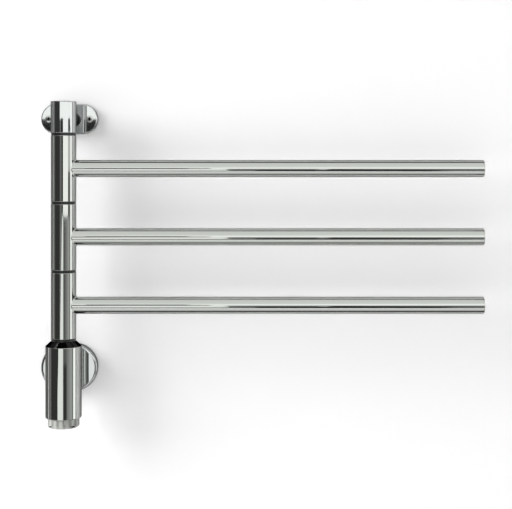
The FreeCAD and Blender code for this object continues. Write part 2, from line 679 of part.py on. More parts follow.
def lower_base_plate():
    """The plate behind the cover, screwed to the wall, with the neck's threaded hole."""
    z = LOWER_NECK_HEIGHT
    margin = COVER_WALL + COVER_CLEARANCE
    plate = obround(COVER_WIDTH - 2 * margin, COVER_HEIGHT - 2 * margin, z, 0, BASE_THICKNESS)
    spigot_radius = NECK_SPIGOT_DIAMETER / 2 + SEAT_CLEARANCE
    hole_start = Vector(0, OVERRUN, z)
    plate = plate.cut(rod(spigot_radius, hole_start, TO_FRONT, BASE_THICKNESS + 2 * OVERRUN))
    for side in (-1, 1):
        x = side * LOWER_SCREW_SPACING / 2
        plate = plate.cut(wall_screw_hole(x, z, -BASE_THICKNESS))
    return plate


def cable_grommet():
    """The soft ring at the wall end of the neck, which the supply cable comes through."""
    z = LOWER_NECK_HEIGHT
    ring = rod(NECK_BORE / 2 - SEAT_CLEARANCE, Vector(0, 0, z), TO_FRONT, GROMMET_LENGTH)
    hole_start = Vector(0, OVERRUN, z)
    return ring.cut(rod(CABLE_HOLE / 2, hole_start, TO_FRONT, GROMMET_LENGTH + 2 * OVERRUN))


# ---------------------------------------------------------------- inside the housing
def panel_screw_hole():
    """The hole for the grub screw, through the shell and into the panel's rim."""
    radius = PANEL_SCREW_DIAMETER / 2 + SEAT_CLEARANCE
    depth = HOUSING_BORE_RADIUS - PANEL_GAP - PANEL_SCREW_DEPTH
    height = PANEL_BOTTOM + PANEL_THICKNESS / 2
    return rod(radius, at_post(0, depth, height), Y, HOUSING_RADIUS)


def panel_grub_screw():
    """The grub screw that holds the chassis in the housing, in the housing's back."""
    start_y = HOUSING_BORE_RADIUS - PANEL_GAP - PANEL_SCREW_DEPTH + SEAT_CLEARANCE
    length = HOUSING_RADIUS - start_y - PANEL_SCREW_SUNK
    start = at_post(0, start_y, PANEL_BOTTOM + PANEL_THICKNESS / 2)
    socket_floor = start + Y * (length - PANEL_SOCKET_DEPTH)
    socket = hexagon(PANEL_SOCKET_FLATS, socket_floor, Y, PANEL_SOCKET_DEPTH + OVERRUN)
    return rod(PANEL_SCREW_DIAMETER / 2, start, Y, length).cut(socket)


def inner_chassis():
    """The panel that holds the switch, with the shelf that holds the terminal block."""
    rim = HOUSING_BORE_RADIUS - PANEL_GAP
    panel = post_rod(rim, PANEL_BOTTOM, PANEL_TOP)
    corner = at_post(-UPRIGHT_WIDTH / 2, UPRIGHT_FRONT, PANEL_TOP)
    upright = Part.makeBox(UPRIGHT_WIDTH, UPRIGHT_THICKNESS, SHELF_BOTTOM - PANEL_TOP, corner)
    front = TERMINAL_BACK - TERMINAL_DEPTH
    shelf_depth = UPRIGHT_FRONT + UPRIGHT_THICKNESS - front
    shelf_corner = at_post(-TERMINAL_WIDTH / 2, front, SHELF_BOTTOM)
    shelf = Part.makeBox(TERMINAL_WIDTH, shelf_depth, SHELF_THICKNESS, shelf_corner)
    shelf = shelf.common(post_rod(rim, SHELF_BOTTOM, TERMINAL_BOTTOM))
    low = PANEL_BOTTOM - OVERRUN
    high = PANEL_TOP + OVERRUN
    bush_hole = post_rod(SWITCH_BUSH_DIAMETER / 2 + SEAT_CLEARANCE, low, high)
    frame = panel.fuse([upright, shelf]).removeSplitter()
    return frame.cut(bush_hole).cut(panel_screw_hole())


def terminal_block():
    """The block that joins the supply, the switch and the post leads."""
    corner = at_post(-TERMINAL_WIDTH / 2, TERMINAL_BACK - TERMINAL_DEPTH, TERMINAL_BOTTOM)
    block = Part.makeBox(TERMINAL_WIDTH, TERMINAL_DEPTH, TERMINAL_HEIGHT, corner)
    for start in terminal_screw_starts():
        hole = rod(TERMINAL_SCREW_DIAMETER / 2 + SEAT_CLEARANCE, start, TO_FRONT, TERMINAL_HEIGHT)
        block = block.cut(hole)
    return block


def terminal_screw_starts():
    """The inner ends of the terminal screws."""
    front = TERMINAL_BACK - TERMINAL_DEPTH
    height = TERMINAL_TOP - TERMINAL_SCREW_DIAMETER
    steps = (-1, 0, 1)
    return [
        at_post(step * TERMINAL_SCREW_PITCH, front + TERMINAL_SCREW_LENGTH, height)
        for step in steps
    ]


def terminal_screws():
    """The slotted clamp screws in the block's front."""
    screws = []
    for start in terminal_screw_starts():
        screw = rod(TERMINAL_SCREW_DIAMETER / 2, start, TO_FRONT, TERMINAL_SCREW_LENGTH)
        to_corner = Vector(TERMINAL_SCREW_DIAMETER, TERMINAL_SCREW_LENGTH, TERMINAL_SLOT_WIDTH / 2)
        slot_length = 2 * TERMINAL_SCREW_DIAMETER
        slot = Part.makeBox(slot_length, TERMINAL_SLOT_DEPTH, TERMINAL_SLOT_WIDTH, start - to_corner)
        screws.append(screw.cut(slot))
    return screws


def switch_body():
    """The rotary switch: its drum, its blades above and its threaded bush below."""
    drum = post_rod(SWITCH_DIAMETER / 2, PANEL_TOP, SWITCH_TOP)
    bush = post_rod(SWITCH_BUSH_DIAMETER / 2, SWITCH_BUSH_BOTTOM, PANEL_TOP)
    pieces = [bush]
    for side in (-1, 1):
        x = side * SWITCH_LEAD_SPREAD / 2
        corner = at_post(
            x - BLADE_WIDTH / 2, -SWITCH_LEAD_FRONT - BLADE_THICKNESS / 2, SWITCH_TOP
        )
        pieces.append(Part.makeBox(BLADE_WIDTH, BLADE_THICKNESS, BLADE_HEIGHT, corner))
    body = drum.fuse(pieces).removeSplitter()
    bore_top = PANEL_TOP + SPINDLE_IN_SWITCH + SEAT_CLEARANCE
    bore_radius = SPINDLE_DIAMETER / 2 + RUNNING_CLEARANCE
    return body.cut(post_rod(bore_radius, SWITCH_BUSH_BOTTOM - OVERRUN, bore_top))


def switch_nut():
    """The thin nut that holds the switch to the panel."""
    low = PANEL_BOTTOM - SWITCH_NUT_THICKNESS
    nut = hexagon(SWITCH_NUT_FLATS, at_post(0, 0, low), Z, SWITCH_NUT_THICKNESS)
    hole_radius = SWITCH_BUSH_DIAMETER / 2 + SEAT_CLEARANCE
    return nut.cut(post_rod(hole_radius, low - OVERRUN, PANEL_BOTTOM + OVERRUN))


def switch_leads():
    """The two leads from the terminal block down to the switch's blades."""
    front = TERMINAL_BACK - TERMINAL_DEPTH
    height = TERMINAL_BOTTOM + SWITCH_LEAD_RISE
    leads = []
    for side in (-1, 1):
        x = side * SWITCH_LEAD_SPREAD / 2
        points = [
            at_post(x, front, height),
            at_post(x, -SWITCH_LEAD_FRONT, height),
            at_post(x, -SWITCH_LEAD_FRONT, SWITCH_TOP + BLADE_HEIGHT),
        ]
        leads.append(lead(points, SWITCH_LEAD_DIAMETER / 2, SWITCH_LEAD_BEND))
    return leads


def splice_top(number):
    """The height at which one arm's lead meets its splice."""
    return arm_height(number) - ARM_LEAD_DROP


def lead_splices():
    """The crimped sleeves on the post's axis, one under each arm's lead."""
    tops = [splice_top(number) for number in range(ARM_COUNT)]
    return [post_rod(SPLICE_DIAMETER / 2, top - SPLICE_LENGTH, top) for top in tops]


def post_leads():
    """The leads from the terminal block up the core's back to the splices."""
    leads = []
    for number in range(ARM_COUNT):
        angle = math.radians(90 + (number - (ARM_COUNT - 1) / 2) * POST_LEAD_STEP)
        x = POST_LEAD_RADIUS * math.cos(angle)
        y = POST_LEAD_RADIUS * math.sin(angle)
        splice_bottom = splice_top(number) - SPLICE_LENGTH
        points = [
            at_post(x, y, TERMINAL_TOP),
            at_post(x, y, splice_bottom - 3 * LEAD_BEND),
            at_post(0, 0, splice_bottom - LEAD_BEND),
            at_post(0, 0, splice_bottom),
        ]
        leads.append(lead(points, POST_LEAD_DIAMETER / 2, LEAD_BEND))
    return leads


def earth_lead():
    """The earth lead from the terminal block to the core tube's lower end."""
    x = -(CORE_RADIUS + CORE_BORE_RADIUS) / 2
    start = at_post(x, 0, TERMINAL_TOP)
    return rod(EARTH_LEAD_DIAMETER / 2, start, Z, CORE_BOTTOM - TERMINAL_TOP)


def indicator_board():
    """The ring-shaped circuit board under the panel."""
    radius = HOUSING_BORE_RADIUS - BOARD_GAP
    return post_tube(radius, BOARD_HOLE / 2, BOARD_BOTTOM, PANEL_BOTTOM)


def indicator_lamps():
    """The lamps under the board that light the knob."""
    lamps = []
    for number in range(LAMP_COUNT):
        angle = math.radians((number + 0.5) * 360 / LAMP_COUNT)
        x = LAMP_CIRCLE / 2 * math.cos(angle)
        y = LAMP_CIRCLE / 2 * math.sin(angle)
        lamp = rod(LAMP_DIAMETER / 2, at_post(x, y, LAMP_BOTTOM), Z, LAMP_HEIGHT)
        lamp = round_edges(lamp, LAMP_EDGE, lambda point: abs(point.z - LAMP_BOTTOM) < ON_FACE)
        lamps.append(lamp)
    return lamps


# ---------------------------------------------------------------- knob
def around_post(shape, degrees):
    """The shape turned about the post's axis."""
    turned = shape.copy()
    turned.rotate(at_post(0, 0, 0), Z, degrees)
    return turned


def control_knob():
    """The fluted, see-through knob, with the boss that holds the spindle."""
    radius = KNOB_DIAMETER / 2
    knob = post_rod(radius, KNOB_BOTTOM, KNOB_TOP)
    knob = round_rim(knob, KNOB_EDGE, KNOB_BOTTOM, radius)
    knob = knob.cut(post_rod(radius - KNOB_WALL, KNOB_INNER_FLOOR, KNOB_TOP + OVERRUN))
    boss_top = SWITCH_BUSH_BOTTOM - KNOB_BOSS_GAP
    boss_foot = KNOB_INNER_FLOOR - KNOB_FLOOR / 2
    knob = knob.fuse(post_rod(KNOB_BOSS_DIAMETER / 2, boss_foot, boss_top))
    spindle_hole = SPINDLE_DIAMETER / 2 + SEAT_CLEARANCE
    knob = knob.removeSplitter()
    knob = knob.cut(post_rod(spindle_hole, KNOB_INNER_FLOOR, boss_top + OVERRUN))
    cutter_radius = ((FLUTE_WIDTH / 2) ** 2 + FLUTE_DEPTH**2) / (2 * FLUTE_DEPTH)
    middle = radius - FLUTE_DEPTH + cutter_radius
    low = KNOB_BOTTOM + KNOB_EDGE + NOTCH_HEIGHT
    flute = rod(cutter_radius, at_post(middle, 0, low), Z, KNOB_TOP - low + OVERRUN)
    for number in range(FLUTE_COUNT):
        knob = knob.cut(around_post(flute, (number + 0.5) * 360 / FLUTE_COUNT))
    notch_corner = at_post(radius - NOTCH_DEPTH, -NOTCH_WIDTH / 2, KNOB_BOTTOM + NOTCH_RISE)
    notch = Part.makeBox(NOTCH_DEPTH + OVERRUN, NOTCH_WIDTH, NOTCH_HEIGHT, notch_corner)
    for number in range(NOTCH_COUNT):
        knob = knob.cut(around_post(notch, (number + 0.5) * 360 / NOTCH_COUNT))
    return knob


def knob_spindle():
    """The spindle that the knob turns in the switch."""
    return post_rod(SPINDLE_DIAMETER / 2, KNOB_INNER_FLOOR, PANEL_TOP + SPINDLE_IN_SWITCH)


# ---------------------------------------------------------------- the whole assembly
def fixed_nodes():
    """The pieces that stay with the wall."""
    return {
        "upper_wall_plate": [upper_wall_plate()],
        "upper_wall_screws": screw_pair(UPPER_SCREW_SPACING, 0, -UPPER_PLATE_DEPTH),
        "upper_neck": [upper_neck()],
        "upper_neck_screw": [upper_neck_screw()],
        "upper_barrel": [upper_barrel()],
        "barrel_cap": [barrel_cap()],
        "barrel_grub_screw": [barrel_grub_screw()],
        "post_core_tube": [post_core_tube()],
        "bearing_washers": bearing_washers(),
        "post_locknut": [post_locknut()],
        "housing_collar": [housing_collar()],
        "housing_shell": [housing_shell()],
        "neck_nut": [neck_nut()],
        "lower_neck": [lower_neck()],
        "lower_cover_plate": [lower_cover_plate()],
        "cover_set_screw": [cover_set_screw()],
        "lower_base_plate": [lower_base_plate()],
        "lower_wall_screws": screw_pair(LOWER_SCREW_SPACING, LOWER_NECK_HEIGHT, -BASE_THICKNESS),
        "cable_grommet": [cable_grommet()],
        "inner_chassis": [inner_chassis()],
        "panel_grub_screw": [panel_grub_screw()],
        "terminal_block": [terminal_block()],
        "terminal_screws": terminal_screws(),
        "switch_body": [switch_body()],
        "switch_nut": [switch_nut()],
        "switch_leads": switch_leads(),
        "lead_splices": lead_splices(),
        "post_leads": post_leads(),
        "earth_lead": [earth_lead()],
        "indicator_board": [indicator_board()],
        "indicator_lamps": indicator_lamps(),
    }


def arm_nodes(number):
    """The pieces of one swinging arm."""
    height = arm_height(number)
    name = f"arm_{number + 1}"
    return {
        f"{name}_sleeve": [arm_sleeve(height)],
        f"{name}_bushes": arm_bushes(height),
        f"{name}_bar": [arm_bar(height)],
        f"{name}_end_cap": [arm_end_cap(height)],
        f"{name}_element": [arm_element(height)],
        f"{name}_spacers": arm_spacers(height),
        f"{name}_lead": [arm_lead(height)],
    }


def knob_nodes():
    """The pieces that turn with the knob."""
    return {"control_knob": [control_knob()], "knob_spindle": [knob_spindle()]}


def write_node(name, solids):
    """Write one node's solids to its own file."""
    shape = solids[0] if len(solids) == 1 else Part.makeCompound(solids)
    if shape.ShapeType == "Compound" and len(shape.Solids) == 1:
        shape = shape.Solids[0]
    shape.exportStep(f"parts/{name}.step")
    print(f"{name}: {len(shape.Solids)} solid(s), {shape.Volume / 1000:.2f} cm3")


def main():
    """Build every node and write it."""
    os.makedirs("parts", exist_ok=True)
    nodes = fixed_nodes()
    for number in range(ARM_COUNT):
        nodes.update(arm_nodes(number))
    nodes.update(knob_nodes())
    for name, solids in nodes.items():
        write_node(name, solids)


main()
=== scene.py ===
"""The swing arm towel bar's looks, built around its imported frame.

Each sub-assembly is a class that models its own pieces from the frame's places and a few
named sizes. Lengths are in metres, in the frame's own axes: +X along the bars, +Y into the
wall, +Z up.
"""
import json
import logging
import math
from collections.abc import Iterator
from contextlib import contextmanager
from dataclasses import dataclass
from enum import Enum
from typing import Any, Callable

import bmesh
import bpy
from mathutils import Euler, Matrix, Vector


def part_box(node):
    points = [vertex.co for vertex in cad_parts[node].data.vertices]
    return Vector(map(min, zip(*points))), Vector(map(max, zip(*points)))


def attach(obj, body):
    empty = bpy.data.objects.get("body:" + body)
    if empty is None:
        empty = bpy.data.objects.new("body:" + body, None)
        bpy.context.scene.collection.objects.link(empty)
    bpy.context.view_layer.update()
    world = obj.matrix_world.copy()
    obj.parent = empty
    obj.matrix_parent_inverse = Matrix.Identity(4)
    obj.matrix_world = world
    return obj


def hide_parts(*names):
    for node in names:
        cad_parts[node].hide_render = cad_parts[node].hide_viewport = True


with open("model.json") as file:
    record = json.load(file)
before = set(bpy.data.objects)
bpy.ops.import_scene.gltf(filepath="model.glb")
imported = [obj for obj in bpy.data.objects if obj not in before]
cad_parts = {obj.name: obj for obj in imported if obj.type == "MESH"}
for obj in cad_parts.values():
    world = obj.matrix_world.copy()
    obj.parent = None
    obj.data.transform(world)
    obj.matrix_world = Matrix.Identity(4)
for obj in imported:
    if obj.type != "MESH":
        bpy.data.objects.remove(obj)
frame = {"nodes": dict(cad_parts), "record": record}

MM = 0.001
ROUND_SIDES = 160  # sides of a large round piece
SMALL_SIDES = 64  # sides of a small round piece
WIDE_STEPS = 8  # steps in a wide rounding
EDGE_STEPS = 4  # steps in the rounding of an edge
FINE_STEPS = 2  # steps in a rounding that is hardly seen
NEAR = 0.02 * MM  # how near a corner counts as on a face or rim
ONE_CORNER = 0.001 * MM  # corners nearer than this are one corner
OVERRUN = 1.0 * MM  # how far a cut runs past the face that it opens
SQUARE = 0.999  # the least cosine at which a face is square to an axis
OUTLINE_ANGLE = math.radians(30)  # the least angle between the faces at an outline
SMOOTH_ANGLE = math.radians(35)  # edges under this angle are shaded smooth
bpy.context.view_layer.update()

log = logging.getLogger("towel_bar")

Piece = bpy.types.Object
Material = bpy.types.Material
Tree = bpy.types.NodeTree
Socket = bpy.types.NodeSocket
Triple = tuple[float, float, float]
Test = Callable[[Any], bool]


class Axis(Enum):
    """Where a round blank points: its unit vector, and the upright blank's turn."""

    ALONG_BAR = ((1, 0, 0), (0.0, math.pi / 2, 0.0))
    TO_ROOM = ((0, -1, 0), (math.pi / 2, 0.0, 0.0))
    TO_WALL = ((0, 1, 0), (-math.pi / 2, 0.0, 0.0))
    UP = ((0, 0, 1), (0.0, 0.0, 0.0))

    @property
    def vector(self) -> Vector:
        """The unit vector that a blank's own top points to."""
        return Vector(self.value[0])

    @property
    def turn(self) -> Matrix:
        """The turn that brings an upright blank there."""
        return Euler(self.value[1]).to_matrix()


class Part(Enum):
    """What an edit step picks."""

    VERTICES = "VERT"
    EDGES = "EDGE"
    FACES = "FACE"


# ---------------------------------------------------------------- places
@dataclass(frozen=True)
class Place:
    """Where a node of the frame is."""

    low: Vector
    high: Vector

    @property
    def middle(self) -> Vector:
        """The middle of its box."""
        return (self.low + self.high) / 2

    @property
    def size(self) -> Vector:
        """Its lengths along the three axes."""
        return self.high - self.low

    def at_height(self, height: float) -> Vector:
        """The point at a height on the upright line through its middle."""
        return Vector((self.middle.x, self.middle.y, height))


def place_of(node: str) -> Place:
    """The place of one node of the frame."""
    return Place(*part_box(node))


def on_post(height: float) -> Vector:
    """The point at a height on the post's axis, which goes through the upper barrel."""
    return place_of("upper_barrel").at_height(height)


# ---------------------------------------------------------------- working on meshes
def deselect_all() -> None:
    """Leave edit mode and deselect every object."""
    if bpy.context.object and bpy.context.object.mode != "OBJECT":
        bpy.ops.object.mode_set(mode="OBJECT")
    bpy.ops.object.select_all(action="DESELECT")


def activate(piece: Piece) -> None:
    """Make one piece the only selected and the active one.

    Args:
        piece: The piece.
    """
    deselect_all()
    piece.select_set(True)
    bpy.context.view_layer.objects.active = piece


def settle(name: str) -> Piece:
    """Name the new active object and put its place into its mesh.

    Args:
        name: The piece's name.

    Returns:
        The piece.
    """
    piece = bpy.context.active_object
    piece.name = name
    piece.data.name = name
    bpy.ops.object.transform_apply(location=True, rotation=True, scale=True)
    return piece


def round_blank(
    name: str,
    radius: float,
    start: Vector,
    length: float,
    axis: Axis,
    sides: int = ROUND_SIDES,
    top_radius: float | None = None,
) -> Piece:
    """Add a round blank, turned to its axis, with its place in its mesh.

    It is turned by half a side, so that a side, and not a corner, lies on top.

    Args:
        name: The piece's name.
        radius: The radius at its start.
        start: The middle of its first face.
        length: Its length along the axis.
        axis: Where it points.
        sides: How many sides it has.
        top_radius: The radius at its far end, where it tapers.

    Returns:
        The new piece, still a plain blank.
    """
    half_side = Matrix.Rotation(math.pi / sides, 3, "Z")
    deselect_all()
    bpy.ops.mesh.primitive_cone_add(
        vertices=sides,
        radius1=radius,
        radius2=radius if top_radius is None else top_radius,
        depth=length,
        location=start + axis.vector * (length / 2),
        rotation=(axis.turn @ half_side).to_euler(),
    )
    return settle(name)


def box_blank(name: str, middle: Vector, size: Vector) -> Piece:
    """Add a box blank with its place in its mesh.

    Args:
        name: The piece's name.
        middle: Its middle.
        size: Its lengths along the three axes.

    Returns:
        The new piece.
    """
    deselect_all()
    bpy.ops.mesh.primitive_cube_add(size=1.0, location=middle, scale=size)
    return settle(name)


def plane_blank(name: str, middle: Triple, turn: Triple, width: float, height: float) -> Piece:
    """Add a flat sheet of the stage, with its place in its mesh.

    Args:
        name: Its name.
        middle: Its middle.
        turn: Its turn, in degrees.
        width: Its width.
        height: Its height.

    Returns:
        The new piece.
    """
    deselect_all()
    bpy.ops.mesh.primitive_plane_add(
        size=1.0, location=middle, rotation=[math.radians(angle) for angle in turn]
    )
    bpy.context.active_object.scale = (width, height, 1)
    sheet = settle(name)
    return sheet


@contextmanager
def picked(piece: Piece, part: Part, wanted: Test) -> Iterator[None]:
    """Pick the vertices, edges or faces that pass a test, for one step in edit mode.

    Args:
        piece: The piece to work on.
        part: What to pick.
        wanted: The test.

    Yields:
        Nothing: the step runs in edit mode, which is left after it.
    """
    activate(piece)
    bpy.ops.object.mode_set(mode="EDIT")
    bpy.ops.mesh.select_mode(type=part.value)
    bpy.ops.mesh.select_all(action="DESELECT")
    mesh = bmesh.from_edit_mesh(piece.data)
    mesh.normal_update()
    items = {Part.VERTICES: mesh.verts, Part.EDGES: mesh.edges, Part.FACES: mesh.faces}[part]
    for item in [item for item in items if wanted(item)]:
        item.select_set(True)
    mesh.select_flush_mode()
    bmesh.update_edit_mesh(piece.data)
    yield
    bpy.ops.object.mode_set(mode="OBJECT")


def anything(item: Any) -> bool:
    """A test that everything passes."""
    return True


def ends(axis: Axis) -> Test:
    """A test for the faces that close a blank's two ends."""
    return lambda face: abs(face.normal.dot(axis.vector)) > SQUARE


def end_at(axis: Axis, at: float, facing: float = 0.0) -> Test:
    """A test for the faces square to an axis at one place on it.

    Args:
        axis: The axis.
        at: The place along it.
        facing: 1 or -1 for the faces that look along or against it, or 0 for both.

    Returns:
        A test of one face.
    """

    def on_end(face: Any) -> bool:
        """Whether a face lies there."""
        lean = face.normal.dot(axis.vector)
        height = face.calc_center_median().dot(axis.vector)
        return abs(lean) > SQUARE and lean * facing >= 0 and abs(height - at) < NEAR

    return on_end


def rim(axis: Axis, at: float, middle: Vector, radius: float) -> Test:
    """A test for the edges of one round rim.

    Args:
        axis: The axis that the rim is square to.
        at: The rim's place along it.
        middle: A point on the axis.
        radius: The rim's radius.

    Returns:
        A test of one edge.
    """

    def on_rim(edge: Any) -> bool:
        """Whether both corners of an edge are on the rim."""
        for vertex in edge.verts:
            out = vertex.co - middle
            out -= axis.vector * out.dot(axis.vector)
            if abs(vertex.co.dot(axis.vector) - at) > NEAR or abs(out.length - radius) > NEAR:
                return False
        return True

    return on_rim


def outline(axis: Axis, at: float) -> Test:
    """A test for the sharp edges at one place on an axis, whatever their outline.

    Args:
        axis: The axis.
        at: The place along it.

    Returns:
        A test of one edge.
    """

    def on_outline(edge: Any) -> bool:
        """Whether an edge lies there and is sharp."""
        level = all(abs(vertex.co.dot(axis.vector) - at) < NEAR for vertex in edge.verts)
        return level and edge.calc_face_angle(0.0) > OUTLINE_ANGLE

    return on_outline


def bevel(piece: Piece, width: float, steps: int, wanted: Test) -> None:
    """Round the edges that pass a test."""
    with picked(piece, Part.EDGES, wanted):
        bpy.ops.mesh.bevel(offset=width, offset_type="OFFSET", segments=steps, profile=0.5)


def bevel_rims(
    piece: Piece, width: float, steps: int, middle: Vector, radius: float, *heights: float
) -> None:
    """Round the rims of an upright round piece.

    Args:
        piece: The piece to work on.
        width: The roundings' radius.
        steps: How many steps each takes.
        middle: A point on the piece's axis.
        radius: The rims' radius.
        heights: The heights of the rims.
    """
    for at in heights:
        bevel(piece, width, steps, rim(Axis.UP, at, middle, radius))


def bore_through(piece: Piece, axis: Axis, wall: float) -> None:
    """Make a round blank a tube, by an inset at both ends and a bridge between them.

    Args:
        piece: The blank.
        axis: The way it stands.
        wall: The tube's wall.
    """
    with picked(piece, Part.FACES, ends(axis)):
        bpy.ops.mesh.inset(thickness=wall, use_even_offset=True)
        bpy.ops.mesh.bridge_edge_loops()


def draw_picked(step: Vector) -> None:
    """Draw what is picked out by a step."""
    bpy.ops.mesh.extrude_region_move(TRANSFORM_OT_translate={"value": step})


def sink_end(piece: Piece, axis: Axis, at: float, wall: float, travel: float) -> None:
    """Inset one end by a wall, and move what is left along the axis.

    Args:
        piece: The piece to work on.
        axis: The end's axis.
        at: The end's place along it.
        wall: How wide a ring is left round it.
        travel: How far it moves along the axis; a move into the piece makes a hollow.
    """
    with picked(piece, Part.FACES, end_at(axis, at)):
        bpy.ops.mesh.inset(thickness=wall, use_even_offset=True)
        draw_picked(axis.vector * travel)


@dataclass(frozen=True)
class Dome:
    """A shallow crown on a flat end."""

    rim: float  # half the end's width, across its narrow way
    rise: float  # from its rim to its top
    rings: int
    edge_room: float = 0.4 * MM  # how wide the first ring is, which a rounded rim fits on

    @property
    def sphere(self) -> float:
        """The radius of the ball that the crown is a part of."""
        return (self.rim**2 + self.rise**2) / (2 * self.rise)

    def height(self, out: float) -> float:
        """The crown's height above its rim, at a distance from its middle."""
        return math.sqrt(self.sphere**2 - out**2) - math.sqrt(self.sphere**2 - self.rim**2)

    def raise_on(self, piece: Piece, axis: Axis, at: float, facing: float) -> None:
        """Raise a flat end into the crown, ring by ring, and close its pole.

        Args:
            piece: The piece to work on.
            axis: Where the crown points.
            at: The flat end's place along the axis.
            facing: 1 for an outer face, -1 for the floor of a hollow from behind.
        """
        out, height = self.rim, 0.0
        step = (self.rim - self.edge_room) / self.rings
        with picked(piece, Part.FACES, end_at(axis, at, facing)):
            for width in [self.edge_room] + [step] * (self.rings - 1):
                out -= width
                climb = self.height(out) - height
                height += climb
                bpy.ops.mesh.inset(thickness=width, use_even_offset=True)
                bpy.ops.transform.translate(value=axis.vector * climb)
            bpy.ops.mesh.poke()

        def on_pole(vertex: Any) -> bool:
            """Whether a vertex is the one that the crown's spokes meet in."""
            level = abs(vertex.co.dot(axis.vector) - at - height) < NEAR
            spokes = [edge.calc_length() for edge in vertex.link_edges]
            return level and len(spokes) > self.rings and min(spokes) > step / 2

        with picked(piece, Part.VERTICES, on_pole):
            bpy.ops.transform.translate(value=axis.vector * (self.rise - height))


def cut_away(piece: Piece, cutter: Piece) -> None:
    """Cut a piece with another, and remove the cutter.

    Args:
        piece: The piece to cut.
        cutter: What it loses.
    """
    activate(piece)
    cutting = piece.modifiers.new("cut", "BOOLEAN")
    cutting.operation = "DIFFERENCE"
    cutting.solver = "EXACT"
    cutting.object = cutter
    bpy.ops.object.modifier_apply(modifier=cutting.name)
    bpy.data.objects.remove(cutter)


def drill(
    piece: Piece,
    radius: float,
    start: Vector,
    length: float,
    axis: Axis,
    sides: int = SMALL_SIDES,
    top_radius: float | None = None,
) -> None:
    """Cut a round hole, whose sizes are given as a round blank's are."""
    cut_away(piece, round_blank("drill", radius, start, length, axis, sides, top_radius))


def countersink(
    piece: Piece, narrow: float, wide: float, start: Vector, axis: Axis, mouth: Axis
) -> None:
    """Cut a tapered seat, as deep as it widens, with room past its mouth.

    Args:
        piece: The piece to cut.
        narrow: The radius at its start.
        wide: The radius at its end.
        start: The middle of its first face.
        axis: Where it points.
        mouth: Which way its wide end looks.
    """
    depth = abs(wide - narrow)
    seat = round_blank("seat", narrow, start, depth, axis, SMALL_SIDES, wide)
    at = max(face.center.dot(mouth.vector) for face in seat.data.polygons)
    with picked(seat, Part.FACES, end_at(mouth, at)):
        draw_picked(mouth.vector * OVERRUN)
    cut_away(piece, seat)


def join(pieces: list[Piece]) -> Piece:
    """Join pieces into one.

    Args:
        pieces: The pieces.

    Returns:
        The first piece, which now holds them all.
    """
    activate(pieces[0])
    for piece in pieces:
        piece.select_set(True)
    bpy.ops.object.join()
    return pieces[0]


def copy_to(piece: Piece, name: str, offset: Vector) -> Piece:
    """Copy a piece with its own mesh, moved by an offset that goes into the mesh.

    Args:
        piece: The piece to copy.
        name: The copy's name.
        offset: How far the copy is moved.

    Returns:
        The copy.
    """
    activate(piece)
    bpy.ops.object.duplicate(linked=False)
    bpy.ops.transform.translate(value=offset)
    return settle(name)


def turned_copy(piece: Piece, degrees: float) -> Piece:
    """Copy a piece with its own mesh, turned about the post's axis.

    Args:
        piece: The piece to copy.
        degrees: How far the copy is turned.

    Returns:
        The copy.
    """
    activate(piece)
    bpy.ops.object.duplicate(linked=False)
    copy = bpy.context.active_object
    with picked(copy, Part.VERTICES, anything):
        bpy.ops.transform.rotate(
            value=math.radians(degrees), orient_axis="Z", center_override=on_post(0.0)
        )
    return copy


def smooth(piece: Piece) -> None:
    """Shade a piece smooth up to an angle, with its broad faces kept true.

    Args:
        piece: The piece.
    """
    with picked(piece, Part.VERTICES, anything):
        bpy.ops.mesh.remove_doubles(threshold=ONE_CORNER)
    bpy.ops.object.shade_smooth_by_angle(angle=SMOOTH_ANGLE)
    weighting = piece.modifiers.new("weight", "WEIGHTED_NORMAL")
    weighting.mode = "FACE_AREA_WITH_ANGLE"
    weighting.weight = 100
    weighting.keep_sharp = True
    bpy.ops.object.modifier_apply(modifier=weighting.name)


def hand_over(piece: Piece, finish: Material, body: str, node: str) -> None:
    """Dress a finished piece and put it on its body.

    Args:
        piece: The piece.
        finish: Its material.
        body: The body that it moves with.
        node: The node that it stands for.
    """
    smooth(piece)
    piece.data.materials.clear()
    piece.data.materials.append(finish)
    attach(piece, body)
    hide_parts(node)
    log.info("%s: %d faces, on %s", piece.name, len(piece.data.polygons), body)


def dress_faces(piece: Piece, finish: Material, wanted: Test) -> None:
    """Give the faces of a dressed piece that pass a test a second finish.

    Args:
        piece: The piece.
        finish: The second material.
        wanted: The test of one face.
    """
    piece.data.materials.append(finish)
    with picked(piece, Part.FACES, wanted):
        piece.active_material_index = 1
        bpy.ops.object.material_slot_assign()


# ---------------------------------------------------------------- nodes
def linear(colour: str) -> tuple[float, float, float, float]:
    """An sRGB hex colour as linear light, with full alpha.

    Args:
        colour: Six hex digits.

    Returns:
        Red, green, blue and alpha, each from 0 to 1.
    """
    channels = [int(colour[place : place + 2], 16) / 255 for place in (0, 2, 4)]
    light = [c / 12.92 if c <= 0.04045 else ((c + 0.055) / 1.055) ** 2.4 for c in channels]
    return (light[0], light[1], light[2], 1.0)


def add_node(
    tree: Tree,
    kind: str,
    settings: dict[str, Any] | None = None,
    links: dict[int, Any] | None = None,
    **inputs: Any,
) -> bpy.types.Node:
    """Add one node, with its settings, its values and its links.

    Args:
        tree: The node tree.
        kind: The node's type.
        settings: The node's own properties.
        links: Values or sockets by the input's number, where names repeat.
        inputs: Values or sockets by the input's name, with underscores for spaces.

    Returns:
        The new node.
    """
    node = tree.nodes.new(kind)
    for key, value in (settings or {}).items():
        setattr(node, key, value)
    named = [(node.inputs[key.replace("_", " ")], value) for key, value in inputs.items()]
    numbered = [(node.inputs[key], value) for key, value in (links or {}).items()]
    for socket, value in named + numbered:
        if isinstance(value, bpy.types.NodeSocket):
            tree.links.new(value, socket)
        else:
            socket.default_value = value
    return node


